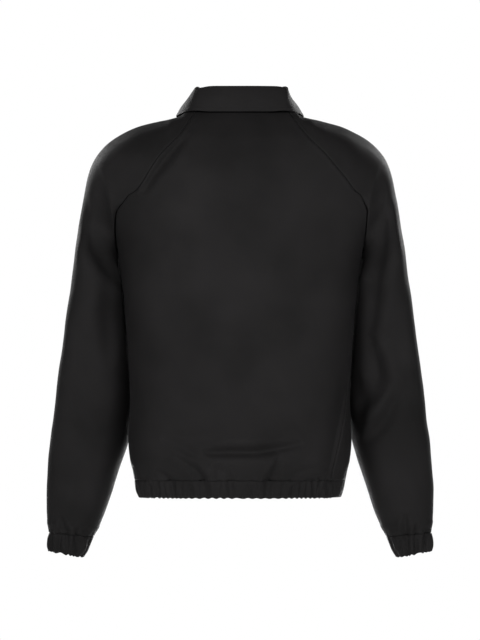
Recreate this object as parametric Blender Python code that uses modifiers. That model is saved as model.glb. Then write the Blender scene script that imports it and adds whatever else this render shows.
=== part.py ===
"""Bomber jacket with raglan sleeves, a turned-down collar and gathered cuffs and hem.

It stands as it is worn, hollow. The front faces -Y, the back +Y and the wearer's left is +X.
The origin is the middle of the neck's base. Tables and sizes are in millimetres.
"""
import math

import bmesh
import bpy
from mathutils import Vector

MM = 0.001                # one millimetre in metres

# Driving sizes
CLOTH = 1.5               # thickness of a panel
DOUBLE_CLOTH = 2.0        # thickness of the collar's pieces and the casings
SEAM_GAP = 0.3            # between pieces sewn to each other
BODY_ROUND = 2.5          # how square the body's section is, 2 is an ellipse
ARM_ROUND = 2.2           # the same for the sleeve's section
UNDERARM_Z = -240.0
HEM_TOP_Z = -603.0
HEM_BOTTOM_Z = -631.0
FRONT_EDGE_X = 5.0        # half the open strip in which the zip lies
PLACKET_X = 18.0          # flat stretch of the front beside its edge, over the zip's tape
FRONT_NECK_DROP = 66.0    # how far the front neckline falls below the shoulder
BODY_CLEARANCE = 3.0      # sleeve to body below the underarm
OVERARM_Y = -5.0          # how far forward the shoulder's line lies
CAP_END = 0.5             # share of the raglan seam where the ribs start to become rings
CAP_SPREAD = 150.0        # seam to overarm distance at which a rib has no belly of its own
RIB_LEAD = 0.4            # how far a cap rib runs straight on from the seam, of its reach
RIB_LEAST_REACH = 0.55    # least depth of a rib's arch, of its reach
RIB_ARCH = 0.62           # how full the arch is, of its depth

RAGLAN_STEPS = 12         # rows of faces along the raglan seam
SIDE_STEPS = 16           # rows along the side seam
ARM_STEPS = 17            # rows from the underarm to the cuff
BACK_COLUMNS = 22
FRONT_COLUMNS = 8
SLEEVE_COLUMNS = 22
COLLAR_STEPS = 16         # from the middle of the back to the front edge

HEM_WAVES = 30            # gathers in the back hem
CUFF_WAVES = 13           # gathers in a cuff
WAVE_COLUMNS = 4          # columns of faces a gather
HEM_WAVE_HEIGHT = 2.6
CUFF_WAVE_HEIGHT = 3.0
# Share of a casing's height from its top, and how much of the gathers' height it has there
HEM_SWELL = ((0.0, 0.35), (0.4, 1.0), (0.8, 0.9), (1.0, 0.4))
CUFF_SWELL = (0.35, 1.0, 1.0, 0.4)    # the same for each ring of a cuff
HEM_RADIUS = 100.0        # rough radius that turns the seam gap into an angle
PLAIN_HEM_COLUMNS = 12

STAND_LIFT = 1.3          # bottom of the stand above the neck's edge
STAND_INSET = 0.5         # bottom of the stand inside the neck's edge
STAND_LEVELS = (0.0, 0.5, 1.0)
FALL_LEVELS = (0.3, 0.65, 1.0)
FALL_BELLY = 3.5          # how far the turned collar swells between its roll and its edge
FALL_LIFT = 0.9           # underside of the roll above the stand
COLLAR_TURN = 0.07        # share of the neck's length over which its direction is measured

TAPE_THICKNESS = 1.0
TAPE_INNER_X = 2.7
TAPE_OUTER_X = 16.0
CHAIN_HALF_WIDTH = 2.3
CHAIN_THICKNESS = 2.4
CHAIN_BEHIND_FRONT = 1.1  # chain's outer face behind the fronts' outer face
TAPE_BEHIND_FRONT = 2.0   # tapes' outer face behind the fronts' outer face
TAPE_BELOW_NECK = 1.0
TAPE_ABOVE_HEM = 4.0      # tapes end above the hem casing's seam
ZIP_STEPS = 20            # rows along a tape or the chain

SLIDER_TOP_Z = -84.0
SLIDER_LENGTH = 12.0
SLIDER_WIDTH = 8.0
SLIDER_THICKNESS = 3.4
SLIDER_OUT = 0.6          # its middle in front of the fronts' outer face
SLOPE_REACH = 15.0        # above and below a height, to measure the front's slope there
BRIDGE_WIDTH = 2.0
BRIDGE_LENGTH = 8.0
BRIDGE_HEIGHT = 3.4
BRIDGE_SUNK = 1.0         # how deep its foot goes into the slider
BRIDGE_HOLE = 2.2
BRIDGE_HOLE_LENGTH = 5.0
PULL_BAR_RADIUS = 0.7     # half the bar's thickness, its middle on the joint's axis
PULL_LENGTH = 30.0
PULL_WIDTH = 7.0
PULL_THICKNESS = 1.4
PULL_EYE_LENGTH = 6.0
PULL_EYE_WIDTH = 4.2
BOX_LENGTH = 9.0
BOX_WIDTH = 8.0
BOX_THICKNESS = 4.0
BOX_EDGE = 0.8            # width of its rounded edges
BOX_BEHIND_FRONT = 3.0    # its middle behind the fronts' outer face
BOX_ABOVE_HEM = 3.0       # its bottom above the hem's bottom

# Half width and depths of the body's section at each height
BODY = (
    # z, side, back, front
    (20.0, 88.0, 45.0, 15.0),
    (6.0, 98.0, 62.0, 28.0),
    (-20.0, 172.0, 88.0, 52.0),
    (-50.0, 235.0, 108.0, 74.0),
    (-100.0, 240.0, 124.0, 102.0),
    (-140.0, 230.0, 128.0, 122.0),
    (-162.0, 222.0, 130.0, 128.0),
    (-200.0, 208.0, 130.0, 134.0),
    (-235.0, 199.0, 128.0, 137.0),
    (-266.0, 196.0, 126.0, 138.0),
    (-303.0, 191.0, 124.0, 137.0),
    (-371.0, 185.0, 121.0, 135.0),
    (-423.0, 181.0, 119.0, 133.0),
    (-472.0, 180.0, 118.0, 131.0),
    (-538.0, 183.0, 124.0, 130.0),
    (-570.0, 180.0, 127.0, 129.0),
    (-587.0, 176.0, 121.0, 127.0),
    (-603.0, 173.0, 114.0, 122.0),
    (-618.0, 170.0, 109.0, 118.0),
    (-631.0, 166.0, 106.0, 116.0),
)

# The raglan seams and the overarm line, from the neck down to the underarm
RAGLAN = (
    # back_x, back_z, front_x, front_z, over_x, over_z, outward, twist
    (72.0, 2.0, 66.0, -12.0, 75.0, 8.0, 0.0, 7.0),
    (100.0, -40.0, 82.0, -36.0, 103.0, -9.0, 0.0, 9.0),
    (130.0, -72.0, 100.0, -58.0, 133.0, -15.0, 0.0, 11.0),
    (146.0, -95.0, 118.0, -84.0, 164.0, -23.0, 0.0, 14.0),
    (158.0, -115.0, 132.0, -104.0, 196.0, -38.0, 0.0, 18.0),
    (170.0, -131.0, 146.0, -124.0, 222.0, -57.0, 0.05, 18.0),
    (181.0, -138.0, 160.0, -142.0, 239.0, -79.0, 0.12, 16.0),
    (191.0, -150.0, 175.0, -160.0, 250.0, -108.0, 0.3, 12.0),
    (202.0, -167.0, 189.0, -178.0, 256.0, -140.0, 0.6, 6.0),
    (204.0, -190.0, 197.0, -197.0, 262.0, -177.0, 0.85, 2.0),
    (202.5, -215.0, 200.5, -217.0, 267.0, -210.0, 1.0, 0.0),
    (199.0, -240.0, 199.0, -240.0, 271.0, -243.0, 1.0, 0.0),
)

# Rings of the sleeve below the underarm, the inner point against the body
ARM = (
    # out_x, out_z, in_x, in_z, back, front, middle_y, swing
    (271.0, -243.0, 198.5, -240.0, 76.0, 76.0, 0.0, 0.12),
    (275.5, -275.0, 184.0, -272.0, 75.0, 75.0, -5.0, 0.15),
    (280.0, -308.0, 180.0, -305.0, 72.0, 72.0, -11.0, 0.24),
    (285.5, -349.0, 178.0, -346.0, 69.0, 70.0, -17.0, 0.3),
    (291.0, -390.0, 176.0, -386.0, 67.0, 68.0, -22.0, 0.32),
    (302.4, -472.0, 177.0, -467.0, 62.0, 64.0, -33.0, 0.32),
    (306.0, -505.0, 179.0, -500.0, 60.0, 62.0, -38.0, 0.3),
    (311.0, -538.0, 184.0, -536.0, 58.0, 60.0, -43.0, 0.28),
    (316.0, -587.0, 200.0, -588.0, 54.0, 56.0, -50.0, 0.25),
    (318.0, -620.0, 211.0, -623.0, 50.0, 52.0, -54.0, 0.22),
    (318.0, -653.0, 223.0, -658.0, 45.0, 47.0, -57.0, 0.2),
    (315.5, -690.0, 240.0, -697.0, 38.0, 40.0, -59.0, 0.15),
)

# Cuff rings, top to bottom
CUFF = (
    # out_x, out_z, in_x, in_z, back, front, middle_y, swing
    (314.5, -690.6, 240.5, -697.6, 37.0, 39.0, -59.0, 0.15),
    (316.0, -700.0, 245.5, -708.5, 35.5, 37.5, -59.5, 0.15),
    (316.8, -711.0, 251.0, -721.0, 35.0, 37.0, -60.0, 0.15),
    (315.5, -720.0, 257.5, -731.0, 33.0, 35.0, -60.5, 0.15),
)

# Where the side seams run round the body, in degrees from its side towards the back
SIDE_SEAM = (
    # z, left, right
    (-240.0, 0.0, 0.0),
    (-300.0, -0.5, 2.0),
    (-380.0, -2.0, 6.0),
    (-441.0, -4.0, 10.7),
    (-466.0, -5.0, 14.0),
    (-521.0, -7.0, 27.0),
    (-551.0, -8.0, 31.5),
    (-589.0, -9.0, 34.0),
    (-610.0, -9.0, 32.5),
    (-631.0, -9.0, 28.5),
)

# The collar from the middle of the back, 0, to the front edge, 1: the turned part's
# lower edge, the height of the stand and how far it leans in over that height
COLLAR = (
    # along, fall_x, fall_y, fall_z, stand, lean
    (0.0, 0.0, 80.0, -1.0, 30.0, 4.0),
    (0.15, 46.0, 77.0, -1.0, 30.0, 5.0),
    (0.27, 78.0, 66.0, 1.0, 26.0, 7.5),
    (0.38, 98.0, 38.0, -1.0, 23.0, 7.5),
    (0.47, 105.0, 3.0, -3.0, 22.0, 7.0),
    (0.56, 103.0, -33.0, -5.0, 22.0, 6.5),
    (0.66, 98.0, -67.0, -27.0, 23.0, 8.0),
    (0.78, 90.0, -94.0, -68.0, 22.0, 5.0),
    (0.90, 78.0, -112.0, -106.0, 20.0, 4.0),
    (1.0, 66.0, -124.0, -134.0, 19.0, 4.0),
)

# Section of the collar's roll over the stand's top edge
ROLL = (
    # out, up
    (0.0, 0.0),
    (0.0, 3.2),
    (2.0, 6.4),
    (5.4, 7.4),
    (9.4, 5.4),
)

# Creases of the back, as points x, z from end to end
BACK_CREASES = (
    # name, depth, width, bulge, points
    ("blouse", 7.0, 9.0, 0.5, ((63, -555), (16, -555), (-27, -555), (-58, -551), (-98, -544))),
    ("hem_left", 5.0, 8.0, 0.4, ((98, -572), (86, -579), (72, -586), (60, -604))),
    ("hem_right", 5.0, 8.0, 0.4, ((-63, -571), (-58, -585), (-51, -597), (-43, -606))),
    ("side", 6.0, 8.0, 0.3, ((-168, -500), (-166, -521), (-165, -544), (-160, -564), (-157, -592))),
)

# Line from shoulder to underarm where the back's cloth folds in behind the arm
DRAPE_LINE = (
    # z, x, depth
    (-50.0, 236.0, 0.0),
    (-69.0, 230.0, 3.0),
    (-84.0, 223.0, 7.0),
    (-112.0, 217.0, 13.0),
    (-157.0, 211.0, 22.0),
    (-184.0, 205.0, 26.0),
    (-212.0, 200.0, 22.0),
    (-240.0, 197.0, 12.0),
    (-300.0, 190.0, 0.0),
)
DRAPE_WIDTH = 9.0         # from the line to the deepest point beside it


def between(table, key):
    """Every column of a table at the key of its first column, on a smooth curve."""
    rows = sorted(table, key=lambda row: row[0])
    key = min(max(key, rows[0][0]), rows[-1][0])
    at = 0
    while at < len(rows) - 2 and key > rows[at + 1][0]:
        at += 1
    return [hermite(rows, at, key, column) for column in range(1, len(rows[0]))]


def hermite(rows, at, key, column):
    """One column between row at and the next, never past the rows' own values."""
    def slope(row):
        return (rows[row + 1][column] - rows[row][column]) / (rows[row + 1][0] - rows[row][0])

    def tangent(row):
        if row == 0:
            return slope(0)
        if row == len(rows) - 1:
            return slope(row - 1)
        before, after = slope(row - 1), slope(row)
        if before * after <= 0.0:
            return 0.0
        return 2.0 * before * after / (before + after)

    span = rows[at + 1][0] - rows[at][0]
    t = (key - rows[at][0]) / span
    start, end = rows[at][column], rows[at + 1][column]
    return ((2 * t ** 3 - 3 * t ** 2 + 1) * start + (t ** 3 - 2 * t ** 2 + t) * span * tangent(at)
            + (3 * t ** 2 - 2 * t ** 3) * end + (t ** 3 - t ** 2) * span * tangent(at + 1))


def numbered(table):
    """The same table with each row's place, 0 to 1, as its first column."""
    last = len(table) - 1
    return [(place / last,) + tuple(row) for place, row in enumerate(table)]


def signed_power(value, power):
    return math.copysign(abs(value) ** power, value)


def body_point(angle, z):
    """Point of the body's surface: 0 is its left side, 90 the middle of the back."""
    side, back, front = between(BODY, z)
    turn = math.radians(angle)
    depth = back if math.sin(turn) > 0 else front
    return Vector((side * signed_power(math.cos(turn), 2 / BODY_ROUND),
                   depth * signed_power(math.sin(turn), 2 / BODY_ROUND), z))


def body_angle(x, z, towards):
    """Angle of the body's surface at x, on the back (towards 1) or the front (-1)."""
    side = between(BODY, z)[0]
    share = min(abs(x) / side, 1.0) ** (BODY_ROUND / 2)
    angle = math.degrees(math.acos(share)) * towards
    return angle if x >= 0 else 180.0 - angle


def body_side_x(y, z):
    """Half width of the body at a depth y, or 0 past its front or back."""
    side, back, front = between(BODY, z)
    share = abs(y) / (back if y > 0 else front)
    return side * (1.0 - share ** BODY_ROUND) ** (1 / BODY_ROUND) if share < 1.0 else 0.0


def normal_of(angle, z):
    """The body surface's direction outwards."""
    step = 0.5
    along = body_point(angle + step, z) - body_point(angle - step, z)
    up = body_point(angle, z + step) - body_point(angle, z - step)
    return along.cross(up).normalized()


def distance_to_line(x, z, points):
    """Distance to a line of points, the signed side, and the share of the way along it."""
    best = (1e9, 1.0, 0.0)
    for place, ((x0, z0), (x1, z1)) in enumerate(zip(points, points[1:])):
        run = Vector((x1 - x0, z1 - z0))
        to = Vector((x - x0, z - z0))
        share = min(max(to.dot(run) / run.length_squared, 0.0), 1.0)
        gap = (to - run * share).length
        if gap < best[0]:
            turn = 1.0 if run.x * to.y - run.y * to.x > 0 else -1.0
            best = (gap, turn, (place + share) / (len(points) - 1))
    return best


def crease_depth(x, z, creases):
    """How far the cloth stands out (or in, below 0) at x, z for all the creases."""
    total = 0.0
    for _name, depth, width, bulge, points in creases:
        gap, _turn, share = distance_to_line(x, z, points)
        fade = math.sin(math.pi * (0.12 + 0.76 * share)) ** 0.6
        trough = math.exp(-(gap / width) ** 2)
        rise = math.exp(-((gap - 2.2 * width) / width) ** 2)
        total += depth * fade * (bulge * rise - trough)
    return total


def drape_depth(x, z):
    """How far the cloth falls in beside the line from the shoulder to the underarm."""
    if not DRAPE_LINE[-1][0] < z < DRAPE_LINE[0][0]:
        return 0.0
    line_x, depth = between(DRAPE_LINE, z)
    gap = abs(x) - line_x
    if gap <= 0.0:
        return 0.0
    return -depth * gap / DRAPE_WIDTH * math.exp(1.0 - gap / DRAPE_WIDTH)


def side_seam_angle(z, side):
    left, right = between(SIDE_SEAM, z)
    return left if side > 0 else 180.0 - right


def raglan_rows():
    """Shares along the raglan seam, one for each row of points."""
    return [step / RAGLAN_STEPS for step in range(RAGLAN_STEPS + 1)]


def side_rows():
    """Heights of the rows of points down the side seam, below the underarm."""
    height = (UNDERARM_Z - HEM_TOP_Z) / SIDE_STEPS
    return [UNDERARM_Z - height * step for step in range(1, SIDE_STEPS + 1)]


def raglan_end(share, side, towards):
    """Angle and height of the back (towards 1) or front seam at a share of its length."""
    back_x, back_z, front_x, front_z, _ox, _oz, _out, twist = between(numbered(RAGLAN), share)
    if towards > 0:
        x, z = back_x + (twist if side < 0 else 0.0), back_z
    else:
        x, z = front_x, front_z
    if share > 0.999:
        return (0.0 if side > 0 else 180.0), UNDERARM_Z
    return body_angle(side * x, z, towards), z


def panel_row(start, end, columns, roundness=0.0):
    """Points of the body's surface from one (angle, z) to another; a round row falls early."""
    row = []
    for column in range(columns + 1):
        share = column / columns
        fall = share + (math.sin(share * math.pi / 2) - share) * roundness
        angle = start[0] + (end[0] - start[0]) * share
        z = start[1] + (end[1] - start[1]) * fall
        point = body_point(angle, z)
        if point.y > 0:
            point += normal_of(angle, z) * crease_depth(point.x, point.z, BACK_CREASES)
        row.append(point)
    return row


def back_rows():
    """The back panel's points, left to right, neck to hem."""
    rows = [panel_row(raglan_end(share, 1, 1), raglan_end(share, -1, 1), BACK_COLUMNS)
            for share in raglan_rows()]
    rows += [panel_row((side_seam_angle(z, 1), z), (side_seam_angle(z, -1), z), BACK_COLUMNS)
             for z in side_rows()]
    return rows


def front_neck_z(side):
    """Height of the neckline at the front edge."""
    return raglan_end(0.0, side, -1)[1] - FRONT_NECK_DROP


def front_rows(side):
    """A front panel's points, side seam to front edge, neck to hem."""
    count = RAGLAN_STEPS + SIDE_STEPS
    rows = []
    for step in range(count + 1):
        if step <= RAGLAN_STEPS:
            start = raglan_end(step / RAGLAN_STEPS, side, -1)
        else:
            z = side_rows()[step - RAGLAN_STEPS - 1]
            start = (side_seam_angle(z, side), z)
        if side < 0 and start[0] < 0:
            start = (start[0] + 360.0, start[1])
        if step >= RAGLAN_STEPS:
            end_z = start[1]
        else:
            top, low = front_neck_z(side), raglan_end(1.0, side, -1)[1]
            end_z = top + (low - top) * step / RAGLAN_STEPS
        round_neck = max(0.0, 1.0 - step / RAGLAN_STEPS)
        inner = (body_angle(side * PLACKET_X, end_z, -1), end_z)
        edge = body_point(body_angle(side * FRONT_EDGE_X, end_z, -1), end_z)
        rows.append(panel_row(start, inner, FRONT_COLUMNS - 1, round_neck) + [edge])
    return rows


def bezier(a, b, c, d, t):
    return a * (1 - t) ** 3 + b * 3 * t * (1 - t) ** 2 + c * 3 * t ** 2 * (1 - t) + d * t ** 3


def half_rib(seam, normal, over, towards, outward, share):
    """Point of a cap rib from the seam (share 0) to the overarm line (share 1)."""
    reach = over - seam
    flat = (reach - normal * reach.dot(normal)).normalized()
    heading = (flat * (1.0 - outward) + Vector((0.0, towards, 0.0)) * outward).normalized()
    depth = max(abs(seam.y - over.y), reach.length * RIB_LEAST_REACH) * RIB_ARCH
    return bezier(seam, seam + heading * reach.length * RIB_LEAD,
                  over + Vector((0.0, towards * depth, 0.0)), over, share)


def half_ring(seam, over, towards, share):
    """The same point on a rounded arc, as on the rings below the underarm."""
    turn = math.pi * share
    depth = ARM[0][4] * (1.0 - abs(seam.y - over.y) / CAP_SPREAD)
    point = (seam + over) / 2 + (over - seam) / 2 * -signed_power(math.cos(turn), 2 / ARM_ROUND)
    belly = towards * depth * math.sin(turn) ** (2 / ARM_ROUND)
    point.y = seam.y + (over.y - seam.y) * share + belly
    point.x += math.copysign(ARM[0][7], over.x) * belly
    return point


def cap_row(share, side):
    """One rib of the sleeve's cap, from the back seam over the arm to the front seam."""
    over_x, over_z, outward = between(numbered(RAGLAN), share)[4:7]
    over = Vector((side * over_x, OVERARM_Y * (1.0 - share), over_z))
    half = SLEEVE_COLUMNS // 2
    to_ring = min(max((share - CAP_END) / (1.0 - CAP_END), 0.0), 1.0)
    to_ring = to_ring * to_ring * (3.0 - 2.0 * to_ring)
    row = []
    for column in range(SLEEVE_COLUMNS + 1):
        towards = 1 if column <= half else -1
        angle, z = raglan_end(share, side, towards)
        seam = body_point(angle, z)
        way = (column if towards > 0 else SLEEVE_COLUMNS - column) / half
        point = half_rib(seam, normal_of(angle, z), over, towards, outward, way)
        point = point.lerp(half_ring(seam, over, towards, way), to_ring)
        if 0 < way < 1:
            point.y += towards * drape_depth(point.x, point.z) * math.sin(math.pi * way) ** 0.5
            clear_x = side * clear_of_body(abs(point.x), point.y, point.z)
            near = max(0.0, 2.0 * to_ring - 1.0)
            point.x += (clear_x - point.x) * near
        row.append(point)
    return row


def clear_of_body(x, y, z):
    """The same x, or further out where it would come too near the body."""
    if z < HEM_BOTTOM_Z:
        return x
    return max(x, body_side_x(y, z) + BODY_CLEARANCE)


def ring_row(sizes, side, columns):
    """One ring of a sleeve or cuff, from its inner point round the back and the front."""
    out_x, out_z, in_x, in_z, back, front, middle_y, swing = sizes
    inner, outer = Vector((in_x, 0.0, in_z)), Vector((out_x, 0.0, out_z))
    centre = (inner + outer) / 2
    half_width = (outer - inner).length / 2
    swung = swing * (back + front) / 2
    squeeze = math.sqrt(max(half_width ** 2 - swung ** 2, 1.0)) / half_width
    across = (outer - centre) * squeeze
    row = []
    for column in range(columns + 1):
        turn = 2 * math.pi * column / columns
        depth = back if math.sin(turn) > 0 else front
        y = depth * signed_power(math.sin(turn), 2 / ARM_ROUND)
        point = centre - across * signed_power(math.cos(turn), 2 / ARM_ROUND)
        point += Vector((y * swing, middle_y + y, 0.0))
        point.x = clear_of_body(point.x, point.y, point.z)
        towards = 1 if math.sin(turn) > 0 else -1
        point.y += towards * drape_depth(point.x, point.z) * abs(math.sin(turn)) ** 0.5
        point.x *= side
        row.append(point)
    return row


def sleeve_rows(side):
    """The sleeve's points, neck to cuff."""
    rows = [cap_row(share, side) for share in raglan_rows()]
    arm = numbered(ARM)
    for step in range(1, ARM_STEPS + 1):
        rows.append(ring_row(between(arm, step / ARM_STEPS), side, SLEEVE_COLUMNS))
    return rows


def pulled_in(rows, start, end):
    """The rows with their first and last points drawn in from the seam."""
    for row in rows:
        if start:
            row[0] = row[0] + (row[1] - row[0]).normalized() * start
        if end:
            row[-1] = row[-1] + (row[-2] - row[-1]).normalized() * end
    return rows


def grid_mesh(rows, welded=False):
    """An open sheet of faces through rows of points, its faces turned outwards."""
    mesh = bmesh.new()
    across, down = len(rows[0]), len(rows)
    bmesh.ops.create_grid(mesh, x_segments=across - 1, y_segments=down - 1, size=1.0)
    mesh.verts.ensure_lookup_table()
    for place, vert in enumerate(mesh.verts):
        vert.co = rows[place // across][place % across] * MM
    if welded:
        bmesh.ops.remove_doubles(mesh, verts=mesh.verts, dist=1e-6)
    return mesh


def new_object(name, mesh, material, collection):
    data = bpy.data.meshes.new(name)
    mesh.to_mesh(data)
    mesh.free()
    piece = bpy.data.objects.new(name, data)
    piece.data.materials.append(material)
    collection.objects.link(piece)
    return piece


def panel(name, rows, thickness, material, collection, welded=False, flip=False):
    """A sheet of cloth: its rows are the outer face, and its wall grows inwards."""
    mesh = grid_mesh(rows, welded)
    if flip:
        bmesh.ops.reverse_faces(mesh, faces=mesh.faces)
    piece = new_object(name, mesh, material, collection)
    wall = piece.modifiers.new("wall", "SOLIDIFY")
    wall.thickness = thickness * MM
    wall.offset = -1.0
    wall.use_even_offset = False
    return piece


def casing(name, outer, inner, material, collection, closed):
    """A gathered casing: outer points raised in waves over a plain inner face."""
    mesh = bmesh.new()
    columns = len(outer[0]) - (1 if closed else 0)
    skins = [[[mesh.verts.new(point * MM) for point in row[:columns]] for row in rows]
             for rows in (outer, inner)]
    last = len(outer) - 1
    spans = columns if closed else columns - 1
    for place in range(spans):
        after = (place + 1) % columns
        for row in range(last):
            for skin in skins:
                mesh.faces.new((skin[row][place], skin[row + 1][place],
                                skin[row + 1][after], skin[row][after]))
        for row in (0, last):
            mesh.faces.new((skins[0][row][place], skins[0][row][after],
                            skins[1][row][after], skins[1][row][place]))
    if not closed:
        for place in (0, columns - 1):
            for row in range(last):
                mesh.faces.new((skins[0][row][place], skins[0][row + 1][place],
                                skins[1][row + 1][place], skins[1][row][place]))
    bmesh.ops.recalc_face_normals(mesh, faces=mesh.faces)
    return new_object(name, mesh, material, collection)


def wave(share, waves):
    """Height, 0 to 1, of uneven gathers at a share of the way along."""
    phase = waves * share + 0.22 * math.sin(7.0 * share * math.pi) + 0.10 * math.sin(23.0 * share)
    uneven = 0.78 + 0.22 * math.sin(17.0 * share + 1.0)
    return uneven * (0.5 - 0.5 * math.cos(2 * math.pi * phase))


def hem_band(name, start_angle, end_angle, columns, waves, material, collection):
    """A stretch of the hem casing between two angles at the hem."""
    top, bottom = HEM_TOP_Z - SEAM_GAP, HEM_BOTTOM_Z
    outer, inner = [], []
    trim = math.degrees(SEAM_GAP / 2 / HEM_RADIUS)
    middle = HEM_WAVE_HEIGHT * 0.5
    for level, swell in HEM_SWELL:
        z = top + (bottom - top) * level
        outer_row, inner_row = [], []
        for column in range(columns + 1):
            share = column / columns
            angle = start_angle + trim + (end_angle - start_angle - 2 * trim) * share
            normal = normal_of(angle, z)
            normal.z = 0.0
            normal.normalize()
            base = body_point(angle, z)
            rise = HEM_WAVE_HEIGHT * wave(share, waves) * swell - middle if waves else 0.0
            outer_row.append(base + normal * rise)
            inner_row.append(base - normal * (DOUBLE_CLOTH + middle))
        outer.append(outer_row)
        inner.append(inner_row)
    return casing(name, outer, inner, material, collection, closed=False)


def cuff(name, side, material, collection):
    """A gathered cuff round the wrist."""
    columns = CUFF_WAVES * WAVE_COLUMNS
    outer, inner = [], []
    for row, sizes in enumerate(CUFF):
        ring = ring_row(sizes, side, columns)
        middle = sum(ring[:-1], Vector()) / columns
        outer_row, inner_row = [], []
        for column, point in enumerate(ring):
            away = point - middle
            away.z = 0.0
            away.normalize()
            rise = CUFF_WAVE_HEIGHT * (wave(column / columns, CUFF_WAVES) * CUFF_SWELL[row] - 0.5)
            outer_row.append(point + away * rise)
            inner_row.append(point - away * (DOUBLE_CLOTH + CUFF_WAVE_HEIGHT * 0.5))
        outer.append(outer_row)
        inner.append(inner_row)
    return casing(name, outer, inner, material, collection, closed=True)


def neckline(side):
    """The neck edge from the middle of the back to the front edge, on one side."""
    back = back_rows()[0]
    half = back[:BACK_COLUMNS // 2 + 1][::-1] if side > 0 else back[BACK_COLUMNS // 2:]
    over = cap_row(0.0, side)
    front = front_rows(side)[0]
    return half[:-1] + over[:-1] + front


def along_line(points, share):
    """The point at a share of a line's length."""
    lengths = [(b - a).length for a, b in zip(points, points[1:])]
    left = share * sum(lengths)
    for start, end, length in zip(points, points[1:], lengths):
        if left <= length:
            return start.lerp(end, left / length)
        left -= length
    return points[-1]


def collar_frame(line, side, share):
    """Base point, outward direction, stand height and lean at a share from back to front."""
    base = along_line(line, share)
    run = (along_line(line, min(share + COLLAR_TURN, 1.0))
           - along_line(line, max(share - COLLAR_TURN, 0.0)))
    run.z = 0.0
    away = Vector((run.y, -run.x, 0.0)).normalized() * -side
    if away.dot(Vector((base.x, base.y, 0.0))) < 0:
        away = -away
    height, lean = between(COLLAR, share)[3:5]
    return base, away, height, lean


def both_sides(section, steps):
    """Sections over the whole collar, from the left front edge round to the right one."""
    left_line, right_line = neckline(1), neckline(-1)
    left = [section(left_line, 1, 1.0 - step / steps) for step in range(steps)]
    right = [section(right_line, -1, step / steps) for step in range(steps + 1)]
    return left + right


def stand_section(line, side, share):
    base, away, height, lean = collar_frame(line, side, share)
    return [base + Vector((0, 0, STAND_LIFT + height * level))
            - away * (lean * level + STAND_INSET) for level in STAND_LEVELS]


def fall_section(line, side, share):
    """Section of the turned collar: over the stand's top and down to its lower edge."""
    away = collar_frame(line, side, share)[1]
    top = stand_section(line, side, share)[-1] - away * DOUBLE_CLOTH
    points = [top + away * out + Vector((0, 0, up + FALL_LIFT)) for out, up in ROLL]
    fall_x, fall_y, fall_z = between(COLLAR, share)[:3]
    edge = Vector((side * fall_x, fall_y, fall_z))
    crown = points[-1]
    for level in FALL_LEVELS:
        belly = math.sin(math.pi * level) * FALL_BELLY
        points.append(crown.lerp(edge, level) + away * belly)
    return points


def transposed(rows):
    return [list(row) for row in zip(*rows)]


def collar(cloth, collection):
    stand = transposed(both_sides(stand_section, COLLAR_STEPS))
    panel("collar_stand", stand, DOUBLE_CLOTH, cloth, collection, flip=True)
    fall = transposed(both_sides(fall_section, COLLAR_STEPS))
    panel("collar_fall", fall, DOUBLE_CLOTH, cloth, collection, flip=True)


def front_surface_y(z):
    return body_point(body_angle(0.0, z, -1), z).y


def zip_strip(name, x_start, x_end, behind, thickness, z_top, z_bottom, material, collection):
    """A strip that follows the front edge, behind the fronts' outer face."""
    rows = []
    for step in range(ZIP_STEPS + 1):
        z = z_top + (z_bottom - z_top) * step / ZIP_STEPS
        y = front_surface_y(z) + behind
        rows.append([Vector((x_start, y, z)), Vector((x_end, y, z))])
    panel(name, rows, thickness, material, collection, flip=True)


def block(mesh, width, depth, height, centre):
    made = bmesh.ops.create_cube(mesh, size=1.0)["verts"]
    bmesh.ops.scale(mesh, vec=(width * MM, depth * MM, height * MM), verts=made)
    bmesh.ops.translate(mesh, vec=centre * MM, verts=made)
    return made


def cut_or_join(piece, other, operation):
    """A Boolean with another object, which stays in the scene as a hidden guide."""
    step = piece.modifiers.new(other.name, "BOOLEAN")
    step.operation = operation
    step.object = other
    other.hide_render = True
    other.display_type = "WIRE"


def slope_at(z):
    """Angle of the front's slope from upright, and its direction down the cloth."""
    run = front_surface_y(z - SLOPE_REACH) - front_surface_y(z + SLOPE_REACH)
    return math.atan2(-run, 2 * SLOPE_REACH)


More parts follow.
